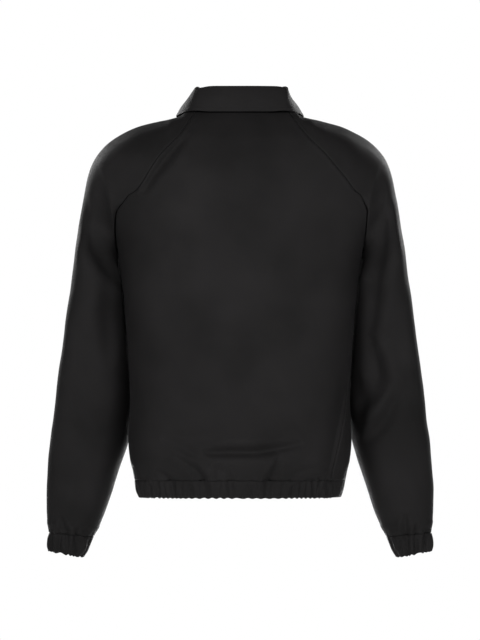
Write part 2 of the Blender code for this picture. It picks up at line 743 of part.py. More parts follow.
def zip_pieces(tape_cloth, metal, collection, cutters):
    tape_top = front_neck_z(1) - TAPE_BELOW_NECK
    for name, side in (("zip_tape_left", 1), ("zip_tape_right", -1)):
        ends = sorted((side * TAPE_INNER_X, side * TAPE_OUTER_X))
        zip_strip(name, ends[0], ends[1], TAPE_BEHIND_FRONT, TAPE_THICKNESS,
                  tape_top, HEM_TOP_Z + TAPE_ABOVE_HEM, tape_cloth, collection)
    slider_low = SLIDER_TOP_Z - SLIDER_LENGTH
    box_top = HEM_BOTTOM_Z + BOX_ABOVE_HEM + BOX_LENGTH
    zip_strip("zip_chain", -CHAIN_HALF_WIDTH, CHAIN_HALF_WIDTH, CHAIN_BEHIND_FRONT,
              CHAIN_THICKNESS, slider_low - SEAM_GAP, box_top + SEAM_GAP, metal, collection)

    mesh = bmesh.new()
    block(mesh, BOX_WIDTH, BOX_THICKNESS, BOX_LENGTH,
          Vector((0, front_surface_y(box_top) + BOX_BEHIND_FRONT, box_top - BOX_LENGTH / 2)))
    box = new_object("zip_box", mesh, metal, collection)
    rounded(box, BOX_EDGE)

    middle_z = SLIDER_TOP_Z - SLIDER_LENGTH / 2
    lean = slope_at(middle_z)
    # The slider is built upright about its middle, then leant onto the front's slope
    centre = Vector((0.0, front_surface_y(middle_z) - SLIDER_OUT, middle_z))
    mesh = bmesh.new()
    block(mesh, SLIDER_WIDTH, SLIDER_THICKNESS, SLIDER_LENGTH, Vector((0, 0, 0)))
    slider = new_object("zip_slider", mesh, metal, collection)
    slider.location = centre * MM
    slider.rotation_euler = (-lean, 0.0, 0.0)
    mesh = bmesh.new()
    out = -(SLIDER_THICKNESS / 2 + (BRIDGE_HEIGHT - BRIDGE_SUNK) / 2)
    block(mesh, BRIDGE_WIDTH, BRIDGE_HEIGHT + BRIDGE_SUNK, BRIDGE_LENGTH, Vector((0, out, 0)))
    bridge = new_object("bridge_guide", mesh, metal, cutters)
    bridge.parent = slider
    cut_or_join(slider, bridge, "UNION")
    mesh = bmesh.new()
    hole_y = -(SLIDER_THICKNESS / 2 + BRIDGE_HOLE / 2)
    block(mesh, BRIDGE_WIDTH * 2, BRIDGE_HOLE, BRIDGE_HOLE_LENGTH, Vector((0, hole_y, 0)))
    hole = new_object("bridge_hole_guide", mesh, metal, cutters)
    hole.parent = slider
    cut_or_join(slider, hole, "DIFFERENCE")

    # The pull hangs in the bridge's hole on a round bar, which is the joint's axis
    mesh = bmesh.new()
    block(mesh, PULL_WIDTH, PULL_THICKNESS, PULL_LENGTH, Vector((0, 0, PULL_BAR_RADIUS - PULL_LENGTH / 2)))
    pull = new_object("zip_pull", mesh, metal, collection)
    pull.location = (centre + turned(Vector((0, hole_y, 0)), lean)) * MM
    pull.rotation_euler = (-lean, 0.0, 0.0)
    mesh = bmesh.new()
    bottom = -(PULL_BAR_RADIUS + PULL_EYE_LENGTH)
    block(mesh, PULL_EYE_WIDTH, PULL_THICKNESS * 3, PULL_EYE_LENGTH,
          Vector((0, 0, bottom + PULL_EYE_LENGTH / 2)))
    eye = new_object("pull_eye_guide", mesh, metal, cutters)
    eye.parent = pull
    cut_or_join(pull, eye, "DIFFERENCE")


def turned(vector, lean):
    """A vector of the upright slider, leant onto the front's slope."""
    return Vector((vector.x, vector.y * math.cos(lean) + vector.z * math.sin(lean),
                   vector.z * math.cos(lean) - vector.y * math.sin(lean)))


def rounded(piece, width):
    bevel = piece.modifiers.new("rounded", "BEVEL")
    bevel.width = width * MM
    bevel.segments = 2


def finish(name, colour, roughness, metallic=0.0):
    material = bpy.data.materials.new(name)
    material.use_nodes = True
    shader = material.node_tree.nodes["Principled BSDF"]
    shader.inputs["Base Color"].default_value = (*colour, 1.0)
    shader.inputs["Roughness"].default_value = roughness
    shader.inputs["Metallic"].default_value = metallic
    return material


def new_collection(name):
    collection = bpy.data.collections.new(name)
    bpy.context.scene.collection.children.link(collection)
    return collection


def main():
    for leftover in list(bpy.data.objects):
        bpy.data.objects.remove(leftover)
    jacket = new_collection("bomber_jacket")
    cutters = new_collection("cutters")
    cloth = finish("black_cloth", (0.016, 0.015, 0.015), 0.8)
    tape_cloth = finish("zip_tape_cloth", (0.012, 0.012, 0.012), 0.9)
    metal = finish("dark_metal", (0.05, 0.05, 0.05), 0.4, 1.0)

    trim = SEAM_GAP / 2 + 0.05
    rows = pulled_in(back_rows(), trim, trim)
    panel("back", rows, CLOTH, cloth, jacket, flip=True)
    for word, side in (("left", 1), ("right", -1)):
        rows = pulled_in(front_rows(side), trim, 0.0)
        panel("front_" + word, rows, CLOTH, cloth, jacket, flip=side < 0)
        rows = sleeve_rows(side)
        rows[:RAGLAN_STEPS] = pulled_in(rows[:RAGLAN_STEPS], trim, trim)
        panel("sleeve_" + word, rows, CLOTH, cloth, jacket, welded=True, flip=side < 0)
        cuff("cuff_" + word, side, cloth, jacket)

    left_seam = side_seam_angle(HEM_BOTTOM_Z, 1)
    right_seam = side_seam_angle(HEM_BOTTOM_Z, -1)
    hem_band("hem_back", left_seam, right_seam, HEM_WAVES * WAVE_COLUMNS, HEM_WAVES, cloth, jacket)
    edge = body_angle(FRONT_EDGE_X, HEM_BOTTOM_Z, -1)
    hem_band("hem_front_left", edge, left_seam, PLAIN_HEM_COLUMNS, 0, cloth, jacket)
    edge = body_angle(-FRONT_EDGE_X, HEM_BOTTOM_Z, -1)
    hem_band("hem_front_right", right_seam, edge, PLAIN_HEM_COLUMNS, 0, cloth, jacket)
    collar(cloth, jacket)
    zip_pieces(tape_cloth, metal, jacket, cutters)


main()
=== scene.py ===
import math

import bmesh
import bpy
import numpy as np
from mathutils import Matrix, Vector


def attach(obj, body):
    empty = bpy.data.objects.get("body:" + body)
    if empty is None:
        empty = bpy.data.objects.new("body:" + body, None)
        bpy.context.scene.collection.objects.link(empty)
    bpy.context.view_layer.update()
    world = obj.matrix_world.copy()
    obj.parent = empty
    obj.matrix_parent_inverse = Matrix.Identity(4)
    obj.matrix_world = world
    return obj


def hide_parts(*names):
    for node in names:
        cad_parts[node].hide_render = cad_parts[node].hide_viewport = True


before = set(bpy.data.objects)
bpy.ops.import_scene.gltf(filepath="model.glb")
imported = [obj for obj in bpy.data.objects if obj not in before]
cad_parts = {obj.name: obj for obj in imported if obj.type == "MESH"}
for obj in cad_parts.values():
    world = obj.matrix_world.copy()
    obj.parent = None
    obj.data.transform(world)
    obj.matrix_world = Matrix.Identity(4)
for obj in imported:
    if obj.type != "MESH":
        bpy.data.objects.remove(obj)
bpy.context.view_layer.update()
mm = 0.001
print("frame loaded")

# The front faces -Y and the wearer's left is +X. Sizes and tables are in millimetres.
body = {
    "round": 2.5,
    "underarmZ": -240.0,
    "hemTopZ": -603.0,
    "hemBottomZ": -631.0,
    "sections": [  # z, side, back, front
        (20, 88, 45, 15), (6, 98, 62, 28), (-20, 172, 88, 52), (-50, 235, 108, 74),
        (-100, 240, 124, 102), (-140, 230, 128, 122), (-162, 222, 130, 128), (-200, 208, 130, 134),
        (-235, 199, 128, 137), (-266, 196, 126, 138), (-303, 191, 124, 137), (-371, 185, 121, 135),
        (-423, 181, 119, 133), (-472, 180, 118, 131), (-538, 183, 124, 130), (-570, 180, 127, 129),
        (-587, 176, 121, 127), (-603, 173, 114, 122), (-618, 170, 109, 118), (-631, 166, 106, 116)],
    "sideSeam": [  # z, degrees from the left side, from the right side
        (-240, 0, 0), (-300, -0.5, 2), (-380, -2, 6), (-441, -4, 10.7), (-466, -5, 14),
        (-521, -7, 27), (-551, -8, 31.5), (-589, -9, 34), (-610, -9, 32.5), (-631, -9, 28.5)],
}
raglan = {
    "overarmY": -5.0,
    "capEnd": 0.5,        # where the cap's ribs start to become rings
    "capSpread": 150.0,   # seam to overarm in y at which the cap's ring goes flat
    "leastReach": 0.55,   # a rib's least depth, as a share of its length
    "arch": 0.62,
    "lead": 0.4,
    "rows": [  # back x, z, front x, z, overarm x, z, outward, twist
        (72, 2, 66, -12, 75, 8, 0, 7), (100, -40, 82, -36, 103, -9, 0, 9),
        (130, -72, 100, -58, 133, -15, 0, 11), (146, -95, 118, -84, 164, -23, 0, 14),
        (158, -115, 132, -104, 196, -38, 0, 18), (170, -131, 146, -124, 222, -57, 0.05, 18),
        (181, -138, 160, -142, 239, -79, 0.12, 16), (191, -150, 175, -160, 250, -108, 0.3, 12),
        (202, -167, 189, -178, 256, -140, 0.6, 6), (204, -190, 197, -197, 262, -177, 0.85, 2),
        (202.5, -215, 200.5, -217, 267, -210, 1, 0), (199, -240, 199, -240, 271, -243, 1, 0)],
}
sleeve = {
    "round": 2.2,
    "clearance": 3.0,
    "easedAbove": 10,     # rows each side of the underarm that are eased into each other
    "easedBelow": 14,
    "easedTimes": 30,
    "unevenDepth": 0.8,
    "unevenSize": 50.0,
    "edgeDip": 0.9,
    "edgeRise": 0.25,
    "rings": [  # outer x, z, inner x, z, back, front, middle y, swing
        (271, -243, 198.5, -240, 76, 76, 0, 0.12), (275.5, -275, 184, -272, 75, 75, -5, 0.15),
        (280, -308, 180, -305, 72, 72, -11, 0.24), (285.5, -349, 178, -346, 69, 70, -17, 0.3),
        (291, -390, 176, -386, 67, 68, -22, 0.32), (302.4, -472, 177, -467, 62, 64, -33, 0.32),
        (306, -505, 179, -500, 60, 62, -38, 0.3), (311, -538, 184, -536, 58, 60, -43, 0.28),
        (316, -587, 200, -588, 54, 56, -50, 0.25), (318, -620, 211, -623, 50, 52, -54, 0.22),
        (318, -653, 223, -658, 45, 47, -57, 0.2), (315.5, -690, 240, -697, 38, 40, -59, 0.15)],
}


# Reads every column of a table at any keys, on a curve that never overshoots
def smoothTable(rows):
    table = np.array(sorted(rows, key=lambda row: row[0]), float)
    keys, values = table[:, 0], table[:, 1:]
    slopes = np.diff(values, axis=0) / np.diff(keys)[:, None]
    tangents = np.zeros_like(values)
    tangents[0], tangents[-1] = slopes[0], slopes[-1]
    before, after = slopes[:-1], slopes[1:]
    same = before * after > 0
    total = np.where(same, before + after, 1.0)
    tangents[1:-1] = np.where(same, 2 * before * after / total, 0.0)

    def read(at):
        at = np.clip(np.asarray(at, float), keys[0], keys[-1])
        row = np.clip(np.searchsorted(keys, at) - 1, 0, len(keys) - 2)
        span = keys[row + 1] - keys[row]
        t = ((at - keys[row]) / span)[..., None]
        span = span[..., None]
        return ((2 * t ** 3 - 3 * t ** 2 + 1) * values[row] + (t ** 3 - 2 * t ** 2 + t) * span * tangents[row]
                + (3 * t ** 2 - 2 * t ** 3) * values[row + 1] + (t ** 3 - t ** 2) * span * tangents[row + 1])

    return read


def evenly(rows):
    last = len(rows) - 1
    return smoothTable([(place / last,) + tuple(row) for place, row in enumerate(rows)])


bodySections = smoothTable(body["sections"])
sideSeam = smoothTable(body["sideSeam"])
raglanAt = evenly(raglan["rows"])
ringAt = evenly(sleeve["rings"])


def powered(value, power):
    return np.sign(value) * np.abs(value) ** power


def stacked(x, y, z):
    return np.stack(np.broadcast_arrays(x, y, z), axis=-1).astype(float)


def bodyPoints(angle, z):
    side, back, front = np.moveaxis(bodySections(z), -1, 0)
    turn = np.radians(angle)
    depth = np.where(np.sin(turn) > 0, back, front)
    power = 2 / body["round"]
    return stacked(side * powered(np.cos(turn), power), depth * powered(np.sin(turn), power), z)


def bodyAngle(x, z, towards):
    side = bodySections(z)[..., 0]
    share = np.minimum(np.abs(x) / side, 1.0) ** (body["round"] / 2)
    angle = np.degrees(np.arccos(share)) * towards
    return np.where(np.asarray(x) >= 0, angle, 180.0 - angle)


def bodySideX(y, z):
    side, back, front = np.moveaxis(bodySections(z), -1, 0)
    share = np.minimum(np.abs(y) / np.where(y > 0, back, front), 1.0)
    return side * (1.0 - share ** body["round"]) ** (1 / body["round"])


def normalized(vectors):
    return vectors / np.maximum(np.linalg.norm(vectors, axis=-1, keepdims=True), 1e-9)


def bodyNormals(angle, z):
    along = bodyPoints(angle + 0.5, z) - bodyPoints(angle - 0.5, z)
    up = bodyPoints(angle, z + 0.5) - bodyPoints(angle, z - 0.5)
    return normalized(np.cross(along, up))


# Directions square to a grid of points, rows by columns
def gridNormals(points, closed=False):
    if closed:
        ring = points[:, :-1]
        across = np.roll(ring, -1, 1) - np.roll(ring, 1, 1)
        across = np.concatenate([across, across[:, :1]], 1)
    else:
        across = np.gradient(points, axis=1)
    return normalized(np.cross(across, np.gradient(points, axis=0)))


# Creases are placed one by one. A crease is a soft trough along a line of x, z points with a
# swell beside it: on both sides, or only to one (lean 1 or -1). A negative depth is a ridge.
creases = {
    "back": [  # depth, width, swell, lean, points
        (11.0, 6.5, 0.12, -1, [(54, -556), (40, -556), (16, -555), (-27, -555), (-58, -551), (-96, -543)]),
        (-3.0, 15, 0.0, 0, [(96, -526), (40, -532), (-20, -532), (-70, -526), (-120, -512)]),
        (2.4, 6, 0.4, 0, [(125, -533), (88, -548), (68, -572), (50, -580)]),
        (5.2, 5.5, 0.6, -1, [(100, -566), (86, -576), (72, -586), (62, -600), (57, -616), (53, -640)]),
        (3.0, 5, 0.5, 1, [(36, -572), (32, -590), (33, -606)]),
        (3.8, 4.5, 0.6, 1, [(19, -584), (17, -598), (14, -614), (11, -640)]),
        (5.4, 5.5, 0.6, 1, [(-66, -560), (-61, -578), (-54, -592), (-46, -606), (-44, -620), (-43, -642)]),
        (-2.6, 4, 0.5, -1, [(-84, -610), (-94, -601), (-112, -593), (-150, -586)]),
        (3.4, 4.5, 0.5, 1, [(134, -588), (122, -595), (111, -606), (108, -620), (109, -640)]),
        (-2.2, 4, 0.4, 0, [(156, -607), (146, -603), (133, -605)]),
        (2.6, 3.2, 0.5, 0, [(-118, -600), (-122, -614), (-121, -640)]),
        (2.8, 3.2, 0.5, 0, [(-129, -596), (-131, -612), (-133, -640)]),
        (2.4, 3.0, 0.5, 0, [(-141, -598), (-141, -614), (-144, -640)]),
        (2.4, 3.4, 0.5, 0, [(158, -606), (157, -620), (154, -640)]),
        (2.6, 3.2, 0.5, 0, [(147, -608), (146, -620), (147, -640)]),
        (2.2, 3.0, 0.5, 0, [(134, -606), (135, -620), (133, -640)]),
        (1.8, 3.6, 0.4, 0, [(84, -606), (83, -620), (84, -640)]),
        (1.6, 3.6, 0.4, 0, [(-14, -608), (-15, -622), (-13, -640)]),
        (1.7, 3.8, 0.4, 0, [(-84, -612), (-85, -624), (-83, -640)]),
        (6.0, 13, 0.3, 0, [(-174, -450), (-170, -500), (-164, -544), (-158, -575), (-154, -604)]),
        (7.0, 8, 0.35, 0, [(92, -46), (110, -64), (128, -84), (144, -106), (156, -130)]),
        (1.6, 16, 0.4, 0, [(-175, -300), (-172, -370), (-168, -440)]),
        (1.8, 20, 0.4, 0, [(176, -330), (172, -400), (166, -470)]),
        (1.1, 22, 0.3, 0, [(90, -420), (60, -500), (40, -540)]),
        (1.0, 24, 0.3, 0, [(-100, -390), (-70, -470), (-60, -520)]),
        (0.9, 20, 0.3, 0, [(-120, -150), (-150, -200), (-172, -260)]),
        (0.9, 20, 0.3, 0, [(118, -150), (150, -205), (172, -265)])],
    "front": [
        (5.5, 8, 0.5, 0, [(150, -560), (110, -556), (60, -560), (30, -566)]),
        (5.0, 8, 0.5, 0, [(-152, -552), (-100, -560), (-64, -556), (-26, -562)]),
        (3.2, 7, 0.5, 1, [(96, -566), (88, -584), (84, -602)]),
        (3.0, 7, 0.5, -1, [(-84, -566), (-92, -582), (-94, -602)]),
        (2.6, 7, 0.5, 1, [(44, -572), (40, -588), (40, -602)]),
        (2.4, 14, 0.4, 0, [(150, -240), (112, -300), (70, -380)]),
        (2.2, 14, 0.4, 0, [(-148, -250), (-108, -320), (-60, -410)]),
        (1.5, 16, 0.4, 0, [(60, -140), (52, -240), (58, -330)]),
        (1.5, 16, 0.4, 0, [(-64, -150), (-50, -260), (-56, -360)])],
    "sleeveLeftBack": [
        (9.0, 13, 0.4, 1, [(258, -150), (248, -186), (232, -220), (216, -250), (200, -276)]),
        (6.0, 14, 0.4, 0, [(218, -290), (214, -318), (214, -350), (212, -400)]),
        (2.4, 16, 0.4, 0, [(262, -330), (250, -400), (240, -450)]),
        (2.0, 14, 0.4, 1, [(276, -440), (250, -470), (222, -488), (200, -496)]),
        (1.6, 13, 0.4, -1, [(296, -508), (266, -530), (232, -540)]),
        (4.2, 4.5, 0.7, 0, [(293, -668), (291, -680), (287, -692), (285, -704), (284, -716)]),
        (3.4, 3.2, 0.8, 0, [(297, -686), (296, -698), (296, -712), (297, -740)]),
        (3.8, 4.0, 0.6, 0, [(267, -684), (270, -698), (269, -714), (266, -740)]),
        (2.6, 3.0, 0.6, 0, [(262, -700), (263, -714), (260, -740)]),
        (2.2, 3.0, 0.6, 0, [(308, -694), (309, -708), (308, -740)]),
        (1.6, 9, 0.4, 0, [(262, -610), (262, -640), (268, -670)])],
    "sleeveRightBack": [
        (8.0, 12, 0.4, -1, [(-236, -160), (-230, -210), (-222, -246), (-216, -308), (-212, -370)]),
        (8.5, 12, 0.45, -1, [(-214, -379), (-220, -408), (-223, -436), (-208, -468), (-188, -490)]),
        (-4.0, 8, 0.4, 0, [(-244, -458), (-230, -484), (-214, -508), (-200, -532)]),
        (5.0, 9, 0.5, 1, [(-256, -462), (-240, -500), (-214, -540)]),
        (3.5, 8, 0.4, 0, [(-190, -430), (-196, -470), (-206, -520)]),
        (2.6, 14, 0.4, 0, [(-270, -300), (-262, -370), (-258, -420)]),
        (4.0, 4.4, 0.7, 0, [(-272, -664), (-271, -680), (-274, -696), (-275, -712), (-273, -740)]),
        (3.4, 3.4, 0.7, 0, [(-290, -678), (-289, -694), (-289, -710), (-291, -740)]),
        (3.4, 3.6, 0.6, 0, [(-306, -684), (-305, -698), (-305, -714), (-304, -740)]),
        (2.4, 3.0, 0.6, 0, [(-262, -696), (-263, -712), (-261, -740)]),
        (1.6, 9, 0.4, 0, [(-268, -600), (-268, -640), (-272, -664)])],
    "sleeveLeftFront": [
        (5.0, 12, 0.5, 1, [(240, -200), (224, -232), (206, -262)]),
        (5.0, 12, 0.5, 1, [(296, -420), (262, -440), (226, -446), (196, -440)]),
        (4.0, 11, 0.5, -1, [(298, -462), (262, -474), (222, -476)]),
        (3.0, 14, 0.4, 0, [(262, -300), (250, -350), (250, -400)]),
        (3.8, 4.4, 0.7, 0, [(290, -664), (286, -682), (283, -700), (284, -740)]),
        (3.0, 3.6, 0.6, 0, [(303, -682), (302, -700), (301, -740)]),
        (3.4, 3.8, 0.6, 0, [(268, -676), (271, -696), (270, -740)])],
    "sleeveRightFront": [
        (5.0, 12, 0.5, -1, [(-242, -204), (-226, -238), (-208, -264)]),
        (5.0, 12, 0.5, -1, [(-292, -408), (-258, -432), (-224, -440), (-196, -438)]),
        (4.0, 11, 0.5, 1, [(-300, -454), (-266, -470), (-224, -480)]),
        (3.0, 14, 0.4, 0, [(-262, -290), (-252, -340), (-248, -396)]),
        (3.8, 4.4, 0.7, 0, [(-294, -666), (-289, -684), (-286, -702), (-287, -740)]),
        (3.0, 3.6, 0.6, 0, [(-306, -684), (-305, -702), (-304, -740)]),
        (3.4, 3.8, 0.6, 0, [(-266, -678), (-269, -698), (-268, -740)])],
}
drape = {
    "width": 15.0,
    "line": [  # z, x, depth
        (-84, 232, 0), (-104, 223, 4), (-125, 217, 11), (-157, 211, 22), (-184, 206, 31),
        (-212, 201, 28), (-240, 197, 18), (-290, 192, 5), (-340, 188, 0)],
}
drapeAt = smoothTable(drape["line"])


# Distance to a line of points, the side of it, and the share of the way along it
def lineDistance(x, z, points):
    points = np.array(points, float)
    gap = np.full(x.shape, 1e9)
    side = np.ones(x.shape)
    share = np.zeros(x.shape)
    for place in range(len(points) - 1):
        start, run = points[place], points[place + 1] - points[place]
        toX, toZ = x - start[0], z - start[1]
        along = np.clip((toX * run[0] + toZ * run[1]) / (run @ run), 0, 1)
        off = np.hypot(toX - along * run[0], toZ - along * run[1])
        nearer = off < gap
        gap = np.where(nearer, off, gap)
        side = np.where(nearer, np.sign(run[0] * toZ - run[1] * toX), side)
        share = np.where(nearer, (place + along) / (len(points) - 1), share)
    return gap, side, share


def creaseHeight(x, z, lines):
    height = np.zeros(x.shape)
    for depth, width, swell, lean, points in lines:
        gap, side, share = lineDistance(x, z, points)
        fade = np.sin(np.pi * (0.06 + 0.88 * share)) ** 0.7
        wide = width * (0.75 + 0.5 * np.sin(np.pi * share))
        beside = 1.0 if lean == 0 else np.where(side * lean > 0, 1.0, 0.15)
        trough = np.exp(-(gap / wide) ** 2)
        rise = np.exp(-((gap - 2.1 * wide) / wide) ** 2)
        height += depth * fade * (swell * beside * rise - trough)
    return height


def drapeHeight(x, z):
    lineX, depth = np.moveaxis(drapeAt(z), -1, 0)
    gap = np.maximum(np.abs(x) - lineX, 0.0) / drape["width"]
    inside = (z < drape["line"][0][0]) & (z > drape["line"][-1][0])
    return np.where(inside, -depth * gap * np.exp(1.0 - gap), 0.0)


# Slow, shallow unevenness that every hung cloth has
def softUneven(points, amount, size):
    x, y, z = np.moveaxis(points / size, -1, 0)
    waves = (np.sin(2.1 * x + 1.3 * np.sin(1.7 * z + 0.4)) * np.cos(1.1 * z + 0.8 * y)
             + 0.6 * np.sin(3.7 * z + 1.9 * np.sin(1.3 * x + 0.6) + y)
             + 0.4 * np.sin(5.3 * x + 2.2 * np.cos(2.9 * z) + 1.7 * y))
    return amount * waves / 2.0


# Heights, 0 to 1, of uneven gathers at shares of the way along
def wave(share, count):
    phase = count * share + 0.22 * np.sin(7.0 * share * np.pi) + 0.10 * np.sin(23.0 * share)
    uneven = 0.78 + 0.22 * np.sin(17.0 * share + 1.0)
    return uneven * (0.5 - 0.5 * np.cos(2 * np.pi * phase))


def raglanEnd(share, side, towards):
    columns = np.moveaxis(raglanAt(share), -1, 0)
    if towards > 0:
        x = columns[0] + (columns[7] if side < 0 else 0.0)
        z = columns[1]
    else:
        x, z = columns[2], columns[3]
    angle = bodyAngle(side * x, z, towards)
    atUnderarm = share > 0.999
    angle = np.where(atUnderarm, 0.0 if side > 0 else 180.0, angle)
    return angle, np.where(atUnderarm, body["underarmZ"], z)


def sideSeamAngle(z, side):
    left, right = np.moveaxis(sideSeam(z), -1, 0)
    return left if side > 0 else 180.0 - right


seamTurn = {"dip": 0.9, "rise": 0.5, "dipWidth": 1.6, "riseFromSeam": 5.5, "riseWidth": 2.8}


# The turn of a seamed edge: a small dip at the seam and a swell beside it
def edgeRoll(fromStart, fromEnd, dip=seamTurn["dip"], rise=seamTurn["rise"]):
    height = 0.0
    for gap in (fromStart, fromEnd):
        swell = np.exp(-((gap - seamTurn["riseFromSeam"]) / seamTurn["riseWidth"]) ** 2)
        height = height - dip * np.exp(-(gap / seamTurn["dipWidth"]) ** 2) + rise * swell
    return height


def lengthsAcross(points):
    steps = np.linalg.norm(np.diff(points, axis=1), axis=-1)
    return np.concatenate([np.zeros((len(points), 1)), np.cumsum(steps, axis=1)], axis=1)


def lengthsDown(points):
    steps = np.linalg.norm(np.diff(points, axis=0), axis=-1).mean(axis=1)
    return np.concatenate([[0.0], np.cumsum(steps)])


# A sheet of faces through a grid of points, with a UV map in metres of cloth
def gridMesh(points, welded=False, flipped=False):
    rows, columns = points.shape[:2]
    mesh = bmesh.new()
    bmesh.ops.create_grid(mesh, x_segments=columns - 1, y_segments=rows - 1, size=1.0)
    mesh.verts.ensure_lookup_table()
    across = lengthsAcross(points)
    across = across - across[:, columns // 2][:, None]
    down = lengthsDown(points)
    uv = mesh.loops.layers.uv.new("cloth")
    for face in mesh.faces:
        for loop in face.loops:
            row, column = divmod(loop.vert.index, columns)
            loop[uv].uv = (across[row, column] * mm, -down[row] * mm)
    flat = points.reshape(-1, 3) * mm
    for vert, place in zip(mesh.verts, flat.tolist()):
        vert.co = place
    if welded:
        bmesh.ops.remove_doubles(mesh, verts=mesh.verts, dist=1e-6)
    if flipped:
        bmesh.ops.reverse_faces(mesh, faces=mesh.faces)
    return mesh


panelThickness = 1.2


def newPiece(name, mesh, material):
    data = bpy.data.meshes.new(name)
    mesh.to_mesh(data)
    mesh.free()
    data.shade_smooth()
    data.materials.append(material)
    piece = bpy.data.objects.new(name, data)
    bpy.context.scene.collection.objects.link(piece)
    return piece


def clothPiece(name, points, material, thickness=panelThickness, welded=False, flipped=False, edge=0.0):
    piece = newPiece(name, gridMesh(points, welded, flipped), material)
    wall = piece.modifiers.new("wall", "SOLIDIFY")
    wall.thickness = thickness * mm
    wall.offset = -1.0
    if edge:
        rounding = piece.modifiers.new("rounded", "BEVEL")
        rounding.width = edge * mm
        rounding.segments = 2
        rounding.limit_method = "ANGLE"
        rounding.angle_limit = math.radians(50)
    return piece


def sewn(piece, node, slot="cloth", **cut):
    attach(piece, "jacket")
    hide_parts(node)
    print("made", piece.name)


# Panels
panels = {"raglanRows": 84, "sideRows": 126, "backColumns": 150, "frontColumns": 62,
          "sleeveColumns": 132, "sleeveCapRows": 84, "sleeveArmRows": 150, "seamGap": 0.2,
          "frontEdgeX": 5.0, "placketX": 18.0, "placketColumns": 8, "frontNeckDrop": 66.0,
          "unevenDepth": 0.7, "unevenSize": 60.0, "seamFade": 9.0, "sideFade": 30.0, "edgeFade": 25.0,
          "creaseFromEdge": 12.0, "unevenFromEdge": 10.0}


def bodyRows():
    raglanShares = np.linspace(0, 1, panels["raglanRows"] + 1)
    sideZ = np.linspace(body["underarmZ"], body["hemTopZ"], panels["sideRows"] + 1)[1:]
    return raglanShares, sideZ


# Angle and height of a body panel's seam, row by row from neck to hem
def seamEnds(side, towards):
    raglanShares, sideZ = bodyRows()
    angle, z = raglanEnd(raglanShares, side, towards)
    return np.concatenate([angle, sideSeamAngle(sideZ, side)]), np.concatenate([z, sideZ])


# The grid with its first and last columns drawn in a little from the seams
def drawnIn(points, start, end):
    points = points.copy()
    if start:
        points[:, 0] += normalized(points[:, 1] - points[:, 0]) * start
    if end:
        points[:, -1] += normalized(points[:, -2] - points[:, -1]) * end
    return points


def backPoints():
    leftAngle, leftZ = seamEnds(1, 1)
    rightAngle, rightZ = seamEnds(-1, 1)
    share = np.linspace(0, 1, panels["backColumns"] + 1)[None, :]
    angle = leftAngle[:, None] * (1 - share) + rightAngle[:, None] * share
    z = leftZ[:, None] * (1 - share) + rightZ[:, None] * share
    points = bodyPoints(angle, z)
    normals = bodyNormals(angle, z)
    lengths = lengthsAcross(points)
    onBack = np.clip(points[..., 1] / panels["sideFade"], 0.0, 1.0)
    fromSeam = np.minimum(lengths, lengths[:, -1:] - lengths)
    nearSeam = np.clip(fromSeam / panels["seamFade"], 0.0, 1.0)
    height = creaseHeight(points[..., 0], points[..., 2], creases["back"]) * onBack * nearSeam
    height += edgeRoll(lengths, lengths[:, -1:] - lengths)
    above = np.maximum(points[..., 2] - body["hemTopZ"], 0.0)
    calm = 1 - np.exp(-(above / casing["calmAbove"]) ** 2)
    height += softUneven(points, panels["unevenDepth"], panels["unevenSize"]) * calm
    length = hem["pullReach"] * (0.55 + 0.45 * np.sin(31.0 * share + 0.7) * np.sin(13.0 * share))
    gathered = wave(share, hem["waves"]) * casing["topGather"] - hem["pinch"]
    height += hem["waveHeight"] * gathered * nearSeam * np.exp(-(above / length) ** 1.3)
    return points + normals * height[..., None]


def frontPoints(side):
    startAngle, startZ = seamEnds(side, -1)
    if side < 0:
        startAngle = np.where(startAngle < 0, startAngle + 360.0, startAngle)
    raglanRows = panels["raglanRows"]
    top = startZ[0] - panels["frontNeckDrop"]
    step = np.arange(len(startZ)) / raglanRows
    endZ = np.where(step < 1, top + (body["underarmZ"] - top) * step, startZ)
    roundNeck = np.maximum(0.0, 1.0 - step)[:, None]
    endAngle = bodyAngle(side * panels["placketX"], endZ, -1)
    share = np.linspace(0, 1, panels["frontColumns"] + 1)[None, :]
    fall = share + (np.sin(share * np.pi / 2) - share) * roundNeck
    angle = startAngle[:, None] * (1 - share) + endAngle[:, None] * share
    z = startZ[:, None] * (1 - fall) + endZ[:, None] * fall
    edgeX = np.linspace(panels["placketX"], panels["frontEdgeX"], panels["placketColumns"] + 1)[1:] * side
    placketAngle = bodyAngle(edgeX[None, :], endZ[:, None], -1)
    angle = np.concatenate([angle, placketAngle], axis=1)
    z = np.concatenate([z, np.repeat(endZ[:, None], len(edgeX), axis=1)], axis=1)
    points = bodyPoints(angle, z)
    normals = bodyNormals(angle, z)
    lengths = lengthsAcross(points)
    toEdge = lengths[:, -1:] - lengths
    onFront = np.clip(-points[..., 1] / panels["sideFade"], 0.0, 1.0)
    onFront = onFront * np.clip((toEdge - panels["creaseFromEdge"]) / panels["edgeFade"], 0.0, 1.0)
    height = creaseHeight(points[..., 0], points[..., 2], creases["front"]) * onFront
    height += edgeRoll(lengths, np.full_like(lengths, 99.0))  # the front edge has no seam
    above = np.maximum(points[..., 2] - body["hemTopZ"], 0.0)
    calm = 1 - np.exp(-(above / casing["calmAbove"]) ** 2)
    calm = calm * np.clip((toEdge - panels["unevenFromEdge"]) / panels["edgeFade"], 0.0, 1.0)
    height += softUneven(points, panels["unevenDepth"], panels["unevenSize"]) * calm
    return points + normals * height[..., None]


